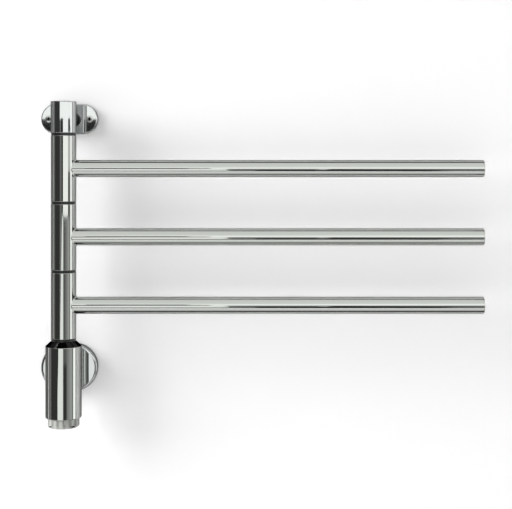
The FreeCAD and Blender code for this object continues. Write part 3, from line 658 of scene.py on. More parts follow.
def calculate(tree: Tree, operation: str, *values: Any) -> Socket:
    """Work out one value from one or two others."""
    links = dict(enumerate(values))
    return add_node(tree, "ShaderNodeMath", {"operation": operation}, links).outputs[0]


def own_place(tree: Tree) -> Socket:
    """The object's own coordinates."""
    return add_node(tree, "ShaderNodeTexCoord").outputs["Object"]


def noise(tree: Tree, place: Socket, spacing: float, detail: float, **inputs: Any) -> Socket:
    """A noise in the object's own space.

    Args:
        tree: The node tree.
        place: The coordinates.
        spacing: The distance from one patch to the next.
        detail: How many finer noises are added.
        inputs: Further values of the node.

    Returns:
        The socket that gives the noise, from 0 to 1.
    """
    inputs |= {"Vector": place, "Scale": 1 / spacing, "Detail": detail}
    return add_node(tree, "ShaderNodeTexNoise", **inputs).outputs[0]


def spread(tree: Tree, share: Socket, least: float, reach: float) -> Socket:
    """A value that follows a noise over the middle part of its range.

    Args:
        tree: The node tree.
        share: The noise.
        least: The value at the low end.
        reach: How much more it is at the high end.

    Returns:
        The socket that gives the value.
    """
    limits = {"From_Min": 0.3, "From_Max": 0.7, "To_Min": least, "To_Max": least + reach}
    return add_node(tree, "ShaderNodeMapRange", Value=share, **limits).outputs[0]


def shade(tree: Tree, share: Socket, deep: str, pale: str) -> Socket:
    """A colour between two, from deep at 0 to pale at 1."""
    links = {0: share, 6: linear(deep), 7: linear(pale)}
    return add_node(tree, "ShaderNodeMix", {"data_type": "RGBA"}, links).outputs[2]


def relief(tree: Tree, height: Socket, depth: float) -> Socket:
    """A normal that follows a height, where a height of 1 is one depth."""
    return add_node(
        tree, "ShaderNodeBump", Strength=1.0, Distance=depth, Height=height
    ).outputs[0]


def blank_material(name: str) -> Material:
    """A new material with an empty node tree.

    Args:
        name: Its name.

    Returns:
        The material.
    """
    material = bpy.data.materials.new(name)
    material.use_nodes = True
    material.node_tree.nodes.clear()
    return material


# ---------------------------------------------------------------- finishes
@dataclass(frozen=True)
class Finish:
    """A finish: its name, its colour, and the colour where it is a shade deeper."""

    name: str
    colour: str
    deep_colour: str
    roughness: float

    def shader(self, tree: Tree) -> bpy.types.Node:
        """The node that shades the surface; each kind of finish has its own."""
        raise NotImplementedError

    def build(self) -> Material:
        """The finished material.

        Returns:
            The material.
        """
        material = blank_material(self.name)
        tree = material.node_tree
        surface = self.shader(tree).outputs[0]
        add_node(tree, "ShaderNodeOutputMaterial", Surface=surface)
        return material


@dataclass(frozen=True)
class MirrorMetal(Finish):
    """A metal polished or plated to a mirror, with the faint lines of its last polish.

    Its deep colour is what it mirrors at a glancing angle.
    """

    roughness_spread: float
    line_spacing: float  # from one polishing line to the next
    line_depth: float
    lines_along: Axis
    line_share: float = 0.01  # a line's width as a share of its length

    def shader(self, tree: Tree) -> bpy.types.Node:
        """The mirror, a little duller and raised along its lines.

        Args:
            tree: The material's node tree.

        Returns:
            The shader's node.
        """
        across = 1 / self.line_spacing
        stretch = [
            across * (self.line_share if along else 1) for along in self.lines_along.vector
        ]
        scaled = add_node(tree, "ShaderNodeMapping", Vector=own_place(tree), Scale=stretch)
        lines = noise(tree, scaled.outputs["Vector"], 1.0, 2.0)
        return add_node(
            tree,
            "ShaderNodeBsdfPrincipled",
            Base_Color=linear(self.colour),
            Specular_Tint=linear(self.deep_colour),
            Metallic=1.0,
            Roughness=spread(tree, lines, self.roughness, self.roughness_spread),
            Normal=relief(tree, lines, self.line_depth),
        )


@dataclass(frozen=True)
class MouldedPolymer(Finish):
    """A moulded polymer, rubber or lacquer, with the fine grain of its mould."""

    grain: float  # across one grain
    grain_depth: float
    ior: float = 1.49

    def shader(self, tree: Tree) -> bpy.types.Node:
        """The polymer, a shade deeper and lower between its grains.

        Args:
            tree: The material's node tree.

        Returns:
            The shader's node.
        """
        grain = noise(tree, own_place(tree), self.grain, 3.0)
        return add_node(
            tree,
            "ShaderNodeBsdfPrincipled",
            Base_Color=shade(tree, grain, self.deep_colour, self.colour),
            Roughness=self.roughness,
            IOR=self.ior,
            Normal=relief(tree, grain, self.grain_depth),
        )


@dataclass(frozen=True)
class DullMetal(Finish):
    """A turned, drawn or tumbled metal that isn't a mirror."""

    roughness_spread: float
    mark_spacing: float  # from one tool mark to the next

    def shader(self, tree: Tree) -> bpy.types.Node:
        """The metal, deeper in colour and duller by patches.

        Args:
            tree: The material's node tree.

        Returns:
            The shader's node.
        """
        marks = noise(tree, own_place(tree), self.mark_spacing, 4.0, Roughness=0.6)
        return add_node(
            tree,
            "ShaderNodeBsdfPrincipled",
            Base_Color=shade(tree, marks, self.deep_colour, self.colour),
            Metallic=1.0,
            Roughness=spread(tree, marks, self.roughness, self.roughness_spread),
        )


@dataclass(frozen=True)
class SmokyClear(Finish):
    """A see-through moulded polymer, with painted shade in its flutes."""

    roughness_spread: float
    clearness: float
    ior: float
    patch: float  # across one patch of its matt inner face
    flutes: int  # how many flutes go round the post's axis

    def shader(self, tree: Tree) -> bpy.types.Node:
        """The polymer, pale on a rib and with painted shade in a flute.

        Args:
            tree: The material's node tree.

        Returns:
            The shader's node.
        """
        place = own_place(tree)
        # The colour is painted shade: deeper in each flute, paler on each rib.
        centred = add_node(tree, "ShaderNodeMapping", Vector=place, Location=-on_post(0.0))
        split = add_node(tree, "ShaderNodeSeparateXYZ", Vector=centred.outputs[0])
        around = calculate(tree, "ARCTAN2", split.outputs[1], split.outputs[0])
        wave = calculate(tree, "COSINE", calculate(tree, "MULTIPLY", around, self.flutes))
        rib = add_node(tree, "ShaderNodeMapRange", Value=wave, From_Min=-1.0, From_Max=1.0)
        patches = noise(tree, place, self.patch, 2.0)
        return add_node(
            tree,
            "ShaderNodeBsdfPrincipled",
            Base_Color=shade(tree, rib.outputs[0], self.deep_colour, self.colour),
            Roughness=spread(tree, patches, self.roughness, self.roughness_spread),
            IOR=self.ior,
            Transmission_Weight=self.clearness,
        )


STEEL = ("B8BAB7", "5A5A5A", 0.03, 0.03, 0.5 * MM, 0.0003 * MM)
CHROME = (0.02, 0.8 * MM, 0.0002 * MM, Axis.UP)
# Steel tube, mirror polished along its length: bright and crisp, with long soft streaks.
POLISHED_BAR = MirrorMetal("mirror_polished_steel_bar", *STEEL, Axis.ALONG_BAR)
# The same tube stood upright, so its polishing lines run up and down.
POLISHED_POST = MirrorMetal("mirror_polished_steel_post", *STEEL, Axis.UP)
# Chrome plate on buffed brass: the cleanest mirror, a shade cooler than the steel.
CHROME_PLATE = MirrorMetal("bright_chrome_plate_on_brass", "BABCBC", "5A5A5A", 0.02, *CHROME)
# Black chrome over the same casting: a mirror that stays near black against a white room.
BLACK_CHROME = MirrorMetal(
    "black_chrome_plate_on_brass", "3E3F3E", "2A2A2A", 0.03, 0.03, *CHROME[1:]
)
# Stainless screw, tumbled: a satin grey ring round a recess that has painted shade.
BRIGHT_SCREW = DullMetal("tumbled_stainless_screw", "CDCECB", "B9BAB7", 0.26, 0.1, 0.6 * MM)
# Painted shade for the screw's recess: dark and dull, standing in for the shade of its depth.
PAINTED_RECESS_SHADE = DullMetal("painted_shade_in_screw_recess", "3A3A38", "2B2B2A", 0.45, 0.15, 0.4 * MM)
# Steel straight off the lathe: grey, with a satin sheen.
TURNED_STEEL = DullMetal("plain_turned_steel", "A9A9A7", "8F8F8D", 0.35, 0.15, 0.8 * MM)
# Heater sheath, drawn and annealed: a dull warm grey.
DRAWN_SHEATH = DullMetal("drawn_steel_heater_sheath", "8C8882", "6F6B66", 0.4, 0.15, 1.5 * MM)
# Brass, turned and left bare: warm yellow, half bright.
TURNED_BRASS = DullMetal("turned_brass", "C9A560", "B18E4A", 0.28, 0.12, 0.7 * MM)
# Acetal washer, moulded: near black with a low sheen; the knob's notches are painted with it
# as shade.
BLACK_ACETAL = MouldedPolymer(
    "moulded_black_acetal", "1A1B1C", "101112", 0.32, 0.3 * MM, 0.002 * MM
)
# Polyamide, moulded: cream and matt, as terminal blocks are.
CREAM_POLYAMIDE = MouldedPolymer(
    "moulded_cream_polyamide", "DDD8CA", "D0CABA", 0.45, 0.4 * MM, 0.003 * MM
)
# Silicone rubber, moulded: soft grey with no highlight.
GREY_SILICONE = MouldedPolymer(
    "moulded_grey_silicone", "BDB9B3", "ABA7A1", 0.6, 0.5 * MM, 0.004 * MM, 1.41
)
# Silicone insulation, extruded: a dull red skin.
RED_SLEEVE = MouldedPolymer(
    "extruded_red_silicone", "A8332B", "8E2A23", 0.5, 0.5 * MM, 0.003 * MM, 1.41
)
# Earth lead's insulation, extruded: a dull green skin.
GREEN_SLEEVE = MouldedPolymer(
    "extruded_green_insulation", "4F8A34", "3F7229", 0.5, 0.5 * MM, 0.003 * MM
)
# Glass fibre board under solder mask: dark green with a varnish gloss.
GREEN_BOARD = MouldedPolymer(
    "solder_mask_on_glass_fibre", "1F5B33", "17482A", 0.3, 0.35 * MM, 0.002 * MM
)
# Lamp lens, moulded epoxy: warm white and glossy.
LAMP_LENS = MouldedPolymer("moulded_lamp_lens", "E6DCC4", "D8CCB0", 0.15, 0.3 * MM, 0.001 * MM)
KNOB_FLUTES = 16
# Polycarbonate knob, moulded with a matt inner face: pale, smoky, with soft upright stripes of
# painted shade in its flutes.
SMOKY_KNOB = SmokyClear(
    "moulded_smoky_polycarbonate",
    "D3D5CF",
    "AFB1AC",
    0.16,
    0.04,
    0.3,
    1.585,
    12.0 * MM,
    KNOB_FLUTES,
)


class Finishes:
    """Every finish, built once, by the record's slot name."""

    def __init__(self) -> None:
        """Build each finish."""
        self.bar = POLISHED_BAR.build()
        self.post = POLISHED_POST.build()
        self.plate = CHROME_PLATE.build()
        self.collar = BLACK_CHROME.build()
        self.screw = BRIGHT_SCREW.build()
        # The recess finish is painted shade, dark and dull.
        self.recess = PAINTED_RECESS_SHADE.build()
        self.washer = BLACK_ACETAL.build()
        self.knob = SMOKY_KNOB.build()
        self.by_slot = {
            "polished_tube": self.post,
            "plated_casting": self.plate,
            "steel_screw": self.screw,
            "core_steel": TURNED_STEEL.build(),
            "black_polymer": self.washer,
            "clear_knob": self.knob,
            "pale_polymer": CREAM_POLYAMIDE.build(),
            "silicone": GREY_SILICONE.build(),
            "lead_sleeve": RED_SLEEVE.build(),
            "earth_sleeve": GREEN_SLEEVE.build(),
            "element_sheath": DRAWN_SHEATH.build(),
            "brass": TURNED_BRASS.build(),
            "circuit_board": GREEN_BOARD.build(),
            "lamp": LAMP_LENS.build(),
        }

    def dress_frame(self) -> None:
        """Give each node of the frame the finish of its slot."""
        for part in frame["record"]["subparts"]:
            mesh = frame["nodes"][part["node"]].data
            mesh.materials.clear()
            mesh.materials.append(self.by_slot[part["material_slot"]])


# ---------------------------------------------------------------- shared pieces
def obround_blank(name: str, place: Place, height: float) -> Piece:
    """Draw a round blank out sideways into an obround that stands on the wall.

    Args:
        name: The piece's name.
        place: The box whose width, height and middle it takes.
        height: How far it stands off the wall.

    Returns:
        The obround, flat at both ends.
    """
    radius = place.size.z / 2
    reach = place.size.x / 2 - radius
    foot = Vector((place.middle.x, place.high.y, place.middle.z))
    piece = round_blank(name, radius, foot, height, Axis.TO_ROOM)
    for side in (-1, 1):
        with picked(piece, Part.VERTICES, lambda vertex: side * (vertex.co.x - foot.x) > 0):
            bpy.ops.transform.translate(value=(side * reach, 0, 0))
    return piece


@dataclass(frozen=True)
class WallScrew:
    """A raised countersunk wood screw, driven through a plate into the wall."""

    head: float = 8.0 * MM
    shank: float = 4.2 * MM
    thread: float = 5.0 * MM
    hole: float = 5.5 * MM
    dome: float = 1.1 * MM
    dome_rings: int = 6
    dome_edge: float = 0.3 * MM
    in_wall: float = 30.0 * MM
    tip: float = 4.0 * MM
    point: float = 0.6 * MM
    pitch: float = 2.0 * MM
    recess_width: float = 1.5 * MM
    recess_span: float = 4.4 * MM
    recess_depth: float = 2.0 * MM
    recess_lean: float = 0.8  # how square to the room a face is that isn't a wall
    socket: float = 1.7 * MM
    socket_floor: float = 0.7 * MM
    socket_depth: float = 3.4 * MM
    gap: float = 0.05 * MM

    def places(self, plate: str, screws: str) -> list[Vector]:
        """Where a plate's two screws are: the points of their axes on its face.

        Args:
            plate: The plate's node.
            screws: The node of its screws.

        Returns:
            The left and the right point.
        """
        place = place_of(plate)
        half = (place_of(screws).size.x - self.head) / 2
        return [Vector((side * half, place.low.y, place.middle.z)) for side in (-1, 1)]

    def drive(self, finishes: "Finishes", plate: str, screws: str, name: str) -> None:
        """Model a plate's two screws and dress them.

        Args:
            finishes: Every finish.
            plate: The plate's node.
            screws: The node of its screws.
            name: The screws' name, without their number.
        """
        for number, spot in enumerate(self.places(plate, screws), 1):
            screw = self.build(f"{name}_{number}", spot)
            hand_over(screw, finishes.screw, "root", screws)
            # The recess's walls and floor get the painted shade.
            dress_faces(screw, finishes.recess, self.in_recess(spot))

    def build(self, name: str, spot: Vector) -> Piece:
        """Model the screw.

        Args:
            name: The piece's name.
            spot: The point of its axis on the plate's face.

        Returns:
            The screw.
        """
        x, face, z = spot
        deep = (self.head - self.shank) / 2
        start = Vector((x, face + deep, z))
        narrow, wide = self.shank / 2, self.head / 2
        screw = round_blank(name, narrow, start, deep, Axis.TO_ROOM, SMALL_SIDES, wide)
        crown = Dome(wide, self.dome, self.dome_rings, self.dome_edge)
        crown.raise_on(screw, Axis.TO_ROOM, -face, 1)
        self.draw_thread(screw, start)
        depth = self.recess_depth + OVERRUN
        middle = Vector((x, face - self.dome - OVERRUN + depth / 2, z))
        span, width = self.recess_span, self.recess_width
        for across, up in ((span, width), (width, span)):
            cut_away(screw, box_blank("recess", middle, Vector((across, depth, up))))
        floor = Vector((x, face - self.dome + self.socket_depth, z))
        length = self.socket_depth + OVERRUN
        drill(screw, self.socket_floor, floor, length, Axis.TO_ROOM, top_radius=self.socket)
        return screw

    def in_recess(self, spot: Vector) -> Test:
        """A test for the walls and the floor of the recess.

        Args:
            spot: The point of the screw's axis on the plate's face.

        Returns:
            A test of one face.
        """
        floor = spot.y - self.dome + self.socket_depth + NEAR

        def sunk(side: Any) -> bool:
            """Whether a face is inside the recess."""
            middle = side.calc_center_median()
            out = math.hypot(middle.x - spot.x, middle.z - spot.z)
            wall = middle.y > spot.y - self.dome / 2 or abs(side.normal.y) < self.recess_lean
            return out < self.recess_span / 2 and wall and middle.y < floor

        return sunk

    def draw_thread(self, screw: Piece, start: Vector) -> None:
        """Draw the shank, the ridges of the thread and the tip out of the head's back.

        Args:
            screw: The screw's head.
            start: The middle of the head's back.
        """
        grow = self.thread / self.shank
        with picked(screw, Part.FACES, end_at(Axis.TO_WALL, start.y, 1)):
            self.draw_ring(start, -start.y, 1.0)
            for _ in range(round(self.in_wall / self.pitch)):
                self.draw_ring(start, self.pitch / 2, grow)
                self.draw_ring(start, self.pitch / 2, 1 / grow)
            self.draw_ring(start, self.tip, self.point / self.shank)

    def draw_ring(self, start: Vector, travel: float, grow: float) -> None:
        """Draw the picked end on towards the wall, and change its width."""
        draw_picked(Axis.TO_WALL.vector * travel)
        bpy.ops.transform.resize(value=(grow, 1, grow), center_override=start)

    def cut_hole(self, plate: Piece, spot: Vector) -> None:
        """Cut the screw's clearance hole and countersink into a plate.

        Args:
            plate: The plate.
            spot: The point of the screw's axis on its face.
        """
        wide, narrow = self.head / 2 + self.gap, self.hole / 2
        behind = Vector((spot.x, OVERRUN, spot.z))
        drill(plate, narrow, behind, 2 * OVERRUN - spot.y, Axis.TO_ROOM)
        seat = Vector((spot.x, spot.y + wide - narrow, spot.z))
        countersink(plate, narrow, wide, seat, Axis.TO_ROOM, Axis.TO_ROOM)


WALL_SCREW = WallScrew()


def neck_between(name: str, node: str, carrier: float, foot: float) -> Piece:
    """Model a neck that stands off the wall and is hollowed to the round that it carries.

    Args:
        name: The piece's name.
        node: The node that gives its place.
        carrier: The radius of the round that it meets.
        foot: The y of its wall end.

    Returns:
        The neck.
    """
    place = place_of(node)
    start = Vector((place.middle.x, foot, place.middle.z))
    reach = foot - on_post(0.0).y
    neck = round_blank(name, place.size.z / 2, start, reach, Axis.TO_ROOM)
    below = on_post(place.low.z - OVERRUN)
    drill(neck, carrier, below, place.size.z + 2 * OVERRUN, Axis.UP, ROUND_SIDES)
    return neck


# ---------------------------------------------------------------- the towel bar
@dataclass
class Assembly:
    """A sub-assembly, whose pieces take their finishes from one set."""

    finishes: Finishes


@dataclass
class UpperBracket(Assembly):
    """The upper wall plate with its screws, the upper neck, and the head of the post."""

    plate_edge: float = 1.5 * MM
    barrel_edge: float = 0.5 * MM
    core_bore: float = 10.05 * MM
    core_in_barrel: float = 25.0 * MM
    cap_rim: float = 0.6 * MM
    cap_edge: float = 0.15 * MM
    cap_rings: int = 12
    seam_edge: float = 0.3 * MM
    cap_spigot: float = 10.0 * MM
    neck_screw_head: float = 6.05 * MM
    neck_screw_thread: float = 3.05 * MM
    grub_hole: float = 2.05 * MM

    def build(self) -> None:
        """Model every piece of the bracket."""
        self.build_plate()
        WALL_SCREW.drive(
            self.finishes, "upper_wall_plate", "upper_wall_screws", "upper_wall_screw"
        )
        self.build_neck()
        self.build_barrel()
        self.build_cap()

    def build_plate(self) -> None:
        """Model the flat obround plate with its rounded front edge and its holes."""
        place = place_of("upper_wall_plate")
        plate = obround_blank("upper_wall_plate_skin", place, place.size.y)
        bevel(plate, self.plate_edge, WIDE_STEPS, outline(Axis.TO_ROOM, -place.low.y))
        for spot in WALL_SCREW.places("upper_wall_plate", "upper_wall_screws"):
            WALL_SCREW.cut_hole(plate, spot)
        wide, narrow = self.neck_screw_head, self.neck_screw_thread
        foot = Vector((place.middle.x, 0, place.middle.z))
        countersink(plate, wide, narrow, foot, Axis.TO_ROOM, Axis.TO_WALL)
        behind = foot + Axis.TO_WALL.vector * OVERRUN
        drill(plate, narrow, behind, place.size.y + 2 * OVERRUN, Axis.TO_ROOM)
        hand_over(plate, self.finishes.plate, "root", "upper_wall_plate")

    def build_neck(self) -> None:
        """Model the stem between the plate and the barrel."""
        barrel = place_of("upper_barrel").size.x / 2
        foot = place_of("upper_wall_plate").low.y
        neck = neck_between("upper_neck_skin", "upper_neck", barrel, foot)
        hand_over(neck, self.finishes.plate, "root", "upper_neck")

    def build_barrel(self) -> None:
        """Model the post's head, bored from below for the core tube."""
        place = place_of("upper_barrel")
        radius = place.size.x / 2
        low, high = place.low.z, place.high.z
        barrel = round_blank(
            "upper_barrel_skin", radius, place.at_height(low), place.size.z, Axis.UP
        )
        bevel_rims(barrel, self.barrel_edge, EDGE_STEPS, place.middle, radius, low)
        bevel_rims(barrel, self.seam_edge, FINE_STEPS, place.middle, radius, high)
        ring = radius - self.barrel_edge - self.core_bore
        sink_end(barrel, Axis.UP, low, ring, self.core_in_barrel)
        grub = place_of("barrel_grub_screw")
        start = Vector((grub.middle.x, grub.low.y, grub.middle.z))
        drill(barrel, self.grub_hole, start, radius, Axis.TO_WALL)
        hand_over(barrel, self.finishes.plate, "root", "upper_barrel")

    def build_cap(self) -> None:
        """Model the domed cap with its spigot in the barrel."""
        seat = place_of("upper_barrel").high.z
        place = place_of("barrel_cap")
        radius = place.size.x / 2
        top = seat + self.cap_rim
        cap = round_blank(
            "barrel_cap_skin", radius, place.at_height(seat), self.cap_rim, Axis.UP
        )
        bevel_rims(cap, self.seam_edge, FINE_STEPS, place.middle, radius, seat)
        ring = radius - self.seam_edge - self.cap_spigot
        sink_end(cap, Axis.UP, seat, ring, place.low.z - seat)
        Dome(radius, place.high.z - top, self.cap_rings).raise_on(cap, Axis.UP, top, 1)
        bevel_rims(cap, self.cap_edge, FINE_STEPS, place.middle, radius, top)
        hand_over(cap, self.finishes.plate, "root", "barrel_cap")


@dataclass
class Post(Assembly):
    """The dark washers that part the barrel, the sleeves and the housing."""

    washer_edge: float = 0.15 * MM
    washer_bore: float = 10.1 * MM

    def build(self) -> None:
        """Model one washer, and copy it to the other seams."""
        place = place_of("bearing_washers")
        sleeve = place_of("arm_1_sleeve")
        thick = place_of("upper_barrel").low.z - sleeve.high.z
        pitch = sleeve.high.z - place_of("arm_2_sleeve").high.z
        count = 1 + round((place.size.z - thick) / pitch)
        radius = place.size.x / 2
        top = place.high.z
        foot = place.at_height(top - thick)
        first = round_blank("bearing_washers_skin", radius, foot, thick, Axis.UP)
        bottom = top - thick
        bevel_rims(first, self.washer_edge, FINE_STEPS, place.middle, radius, top, bottom)
        bore_through(first, Axis.UP, radius - self.washer_edge - self.washer_bore)
        washers = [first]
        for number in range(1, count):
            drop = Vector((0, 0, -number * pitch))
            washers.append(copy_to(first, f"washer_{number}", drop))
        washer = join(washers)
        hand_over(washer, self.finishes.washer, "root", "bearing_washers")


@dataclass
class SwingArm(Assembly):
    """One bar welded on its turning sleeve, with the cap that closes its tip."""

    number: int
    sleeve_wall: float = 1.5 * MM
    sleeve_edge: float = 0.4 * MM
    bar_wall: float = 1.2 * MM
    cap_edge: float = 1.0 * MM
    cap_steps: int = 6
    cap_plug: float = 6.0 * MM
    weld_radius: float = 1.6 * MM
    weld_sides: int = 144
    weld_steps: int = 8
    weld_root: float = 1.3  # how deep the ring's hidden corner lies, in the ball's radii

    @property
    def body(self) -> str:
        """The body that the arm's pieces ride on."""
        return f"arm_{self.number}"

    @property
    def sleeve(self) -> Place:
        """The sleeve's place."""
        return place_of(f"{self.body}_sleeve")

    @property
    def bar(self) -> Place:
        """The bar's place."""
        return place_of(f"{self.body}_bar")

    def build(self) -> None:
        """Model every piece of the arm."""
        self.build_sleeve()
        self.build_bar()
        self.build_weld()
        self.build_cap()

    def give(self, piece: Piece, finish: Material, node: str) -> None:
        """Dress a piece and put it on the arm's body."""
        hand_over(piece, finish, self.body, node)

    def build_sleeve(self) -> None:
        """Model the sleeve, a short tube with rounded rims."""
        node = f"{self.body}_sleeve"
        place = self.sleeve
        low, high = place.low.z, place.high.z
        foot = place.at_height(low)
        radius = place.size.x / 2
        sleeve = round_blank(f"{node}_skin", radius, foot, place.size.z, Axis.UP)
        bevel_rims(sleeve, self.sleeve_edge, EDGE_STEPS, place.middle, radius, low, high)
        bore_through(sleeve, Axis.UP, self.sleeve_wall - self.sleeve_edge)
        self.give(sleeve, self.finishes.post, node)

    def build_bar(self) -> None:
        """Model the bar's tube, hollowed at one end to the sleeve's round."""
        node = f"{self.body}_bar"
        place = self.bar
        sleeve = self.sleeve
        start = Vector((sleeve.middle.x, place.middle.y, place.middle.z))
        length = place.high.x - start.x
        bar = round_blank(f"{node}_skin", place.size.z / 2, start, length, Axis.ALONG_BAR)
        bore_through(bar, Axis.ALONG_BAR, self.bar_wall)
        foot = sleeve.at_height(sleeve.low.z)
        drill(bar, sleeve.size.x / 2, foot, sleeve.size.z, Axis.UP, ROUND_SIDES)
        self.give(bar, self.finishes.bar, node)

    def build_weld(self) -> None:
        """Model the ground weld, a hollow fillet that runs round the bar's root.

        A ball rolls in the corner between bar and sleeve. The ring's section is the ball's
        arc from where it touches the sleeve to where it touches the bar, closed by one
        corner inside the metal, so the ring's corners are placed by that rule.
        """
        bar, sleeve, ball = self.bar, self.sleeve, self.weld_radius
        bar_radius, sleeve_radius = bar.size.z / 2, sleeve.size.x / 2
        middle = sleeve.at_height(bar.middle.z)
        around = self.weld_steps + 2
        deselect_all()
        bpy.ops.mesh.primitive_torus_add(
            major_segments=self.weld_sides,
            minor_segments=around,
            major_radius=bar_radius,
            minor_radius=ball,
        )
        weld = settle(f"{self.body}_weld")
        for index, vertex in enumerate(weld.data.vertices):
            turn = 2 * math.pi * (index // around) / self.weld_sides
            step = index % around
            side = Vector((0, math.cos(turn), math.sin(turn)))
            centre = side * (bar_radius + ball)
            centre.x = math.sqrt((sleeve_radius + ball) ** 2 - centre.y**2)
            out = Vector((centre.x, centre.y, 0)).normalized()
            if step <= self.weld_steps:
                spoke = (-out).slerp(-side, step / self.weld_steps)
                vertex.co = middle + centre + spoke * ball
            else:
                vertex.co = middle + centre - (out + side) * ball * self.weld_root
        with picked(weld, Part.VERTICES, anything):
            bpy.ops.mesh.normals_make_consistent(inside=False)
        self.give(weld, self.finishes.post, f"{self.body}_bar")

    def build_cap(self) -> None:
        """Model the cap, a disc with a rounded face and a plug inside the tube."""
        node = f"{self.body}_end_cap"
        place = place_of(node)
        face, tip = self.bar.high.x, place.high.x
        radius = place.size.z / 2
        start = Vector((face, place.middle.y, place.middle.z))
        cap = round_blank(f"{node}_skin", radius, start, tip - face, Axis.ALONG_BAR)
        bevel(
            cap, self.cap_edge, self.cap_steps, rim(Axis.ALONG_BAR, tip, place.middle, radius)
        )
        sink_end(cap, Axis.ALONG_BAR, face, self.bar_wall + NEAR, -self.cap_plug)
        self.give(cap, self.finishes.bar, node)


@dataclass
class Housing(Assembly):
    """The drum under the arms, and the sloped collar that the post stands on."""

    shell_wall: float = 1.6 * MM
    shell_edge: float = 0.6 * MM
    collar_edge: float = 0.5 * MM
    neck_bore: float = 8.05 * MM
    panel_screw_hole: float = 1.6 * MM
    core_bore: float = 10.05 * MM

    def build(self) -> None:
        """Model every piece of the housing."""
        self.build_collar()
        self.build_shell()

    def build_collar(self) -> None:
        """Model the sloped shoulder with its spigot inside the shell."""
        place = place_of("housing_collar")
        seat = place_of("housing_shell").high.z
        narrow = place_of("arm_3_sleeve").size.x / 2
        top = place.high.z
        collar = round_blank(
            "housing_collar_skin",
            place.size.y / 2,
            place.at_height(seat),
            top - seat,
            Axis.UP,
            top_radius=narrow,
        )
        sink_end(collar, Axis.UP, seat, self.shell_wall + NEAR, place.low.z - seat)
        bevel(collar, self.collar_edge, EDGE_STEPS, rim(Axis.UP, top, place.middle, narrow))
        below = place.at_height(place.low.z - OVERRUN)
        length = place.size.z + 2 * OVERRUN
        drill(collar, self.core_bore, below, length, Axis.UP, ROUND_SIDES)
        hand_over(collar, self.finishes.collar, "root", "housing_collar")

    def build_shell(self) -> None:
        """Model the drum, a tube with rounded rims and two holes at its back."""
        place = place_of("housing_shell")
        radius = place.size.y / 2
        low, high = place.low.z, place.high.z
        foot = place.at_height(low)
        shell = round_blank("housing_shell_skin", radius, foot, place.size.z, Axis.UP)
        bevel_rims(shell, self.shell_edge, EDGE_STEPS, place.middle, radius, low, high)
        bore_through(shell, Axis.UP, self.shell_wall - self.shell_edge)
        holes = {"lower_neck": self.neck_bore, "panel_grub_screw": self.panel_screw_hole}
        for node, hole in holes.items():
            start = place.at_height(place_of(node).middle.z)
            drill(shell, hole, start, radius * 2, Axis.TO_WALL)
        hand_over(shell, self.finishes.post, "root", "housing_shell")


@dataclass
class LowerBracket(Assembly):
    """The lower neck, the deep, nearly flat cover on the wall, and the screws behind it."""

    cover_edge: float = 3.0 * MM
    cover_wall: float = 2.5 * MM
    cover_depth: float = 10.0 * MM
    cover_rings: int = 22
    inner_rings: int = 8
    edge_room: float = 0.4 * MM  # past the rounded edge, on the face's first ring
    dome_radius: float = 500.0 * MM  # so shallow that the face looks flat
    neck_gap: float = 0.3 * MM

    def build(self) -> None:
        """Model every piece of the bracket."""
        self.build_cover()
        self.build_neck()
        WALL_SCREW.drive(
            self.finishes, "lower_base_plate", "lower_wall_screws", "lower_wall_screw"
        )

    def dome_rise(self, half: float, ball: float) -> float:
        """How far a dome rises, from half its height and its ball's radius."""
        return ball - math.sqrt(ball**2 - half**2)

    def build_cover(self) -> None:
        """Model the obround cover, hollow at the wall and bored for the neck."""
        place = place_of("lower_cover_plate")
        half = place.size.z / 2
        rise = self.dome_rise(half, self.dome_radius)
        rim_at = self.cover_depth - rise
        cover = obround_blank("lower_cover_skin", place, rim_at)
        crown = Dome(half, rise, self.cover_rings, self.cover_edge + self.edge_room)
        crown.raise_on(cover, Axis.TO_ROOM, rim_at, 1)
        bevel(cover, self.cover_edge, WIDE_STEPS, outline(Axis.TO_ROOM, rim_at))
        inner = half - self.cover_wall
        inner_rise = self.dome_rise(inner, self.dome_radius - self.cover_wall)
        inner_rim = self.cover_depth - self.cover_wall - inner_rise
        sink_end(cover, Axis.TO_ROOM, 0.0, self.cover_wall, inner_rim)
        Dome(inner, inner_rise, self.inner_rings).raise_on(cover, Axis.TO_ROOM, inner_rim, -1)
        neck = place_of("lower_neck")
        behind = Vector((neck.middle.x, OVERRUN, neck.middle.z))
        bore = neck.size.z / 2 + self.neck_gap
        through = self.cover_depth + 2 * OVERRUN
        drill(cover, bore, behind, through, Axis.TO_ROOM, ROUND_SIDES)
        hand_over(cover, self.finishes.plate, "root", "lower_cover_plate")

    def build_neck(self) -> None:
        """Model the stem between the wall and the housing."""
        shell = place_of("housing_shell").size.y / 2
        foot = place_of("lower_base_plate").low.y
        neck = neck_between("lower_neck_skin", "lower_neck", shell, foot)
        hand_over(neck, self.finishes.plate, "root", "lower_neck")


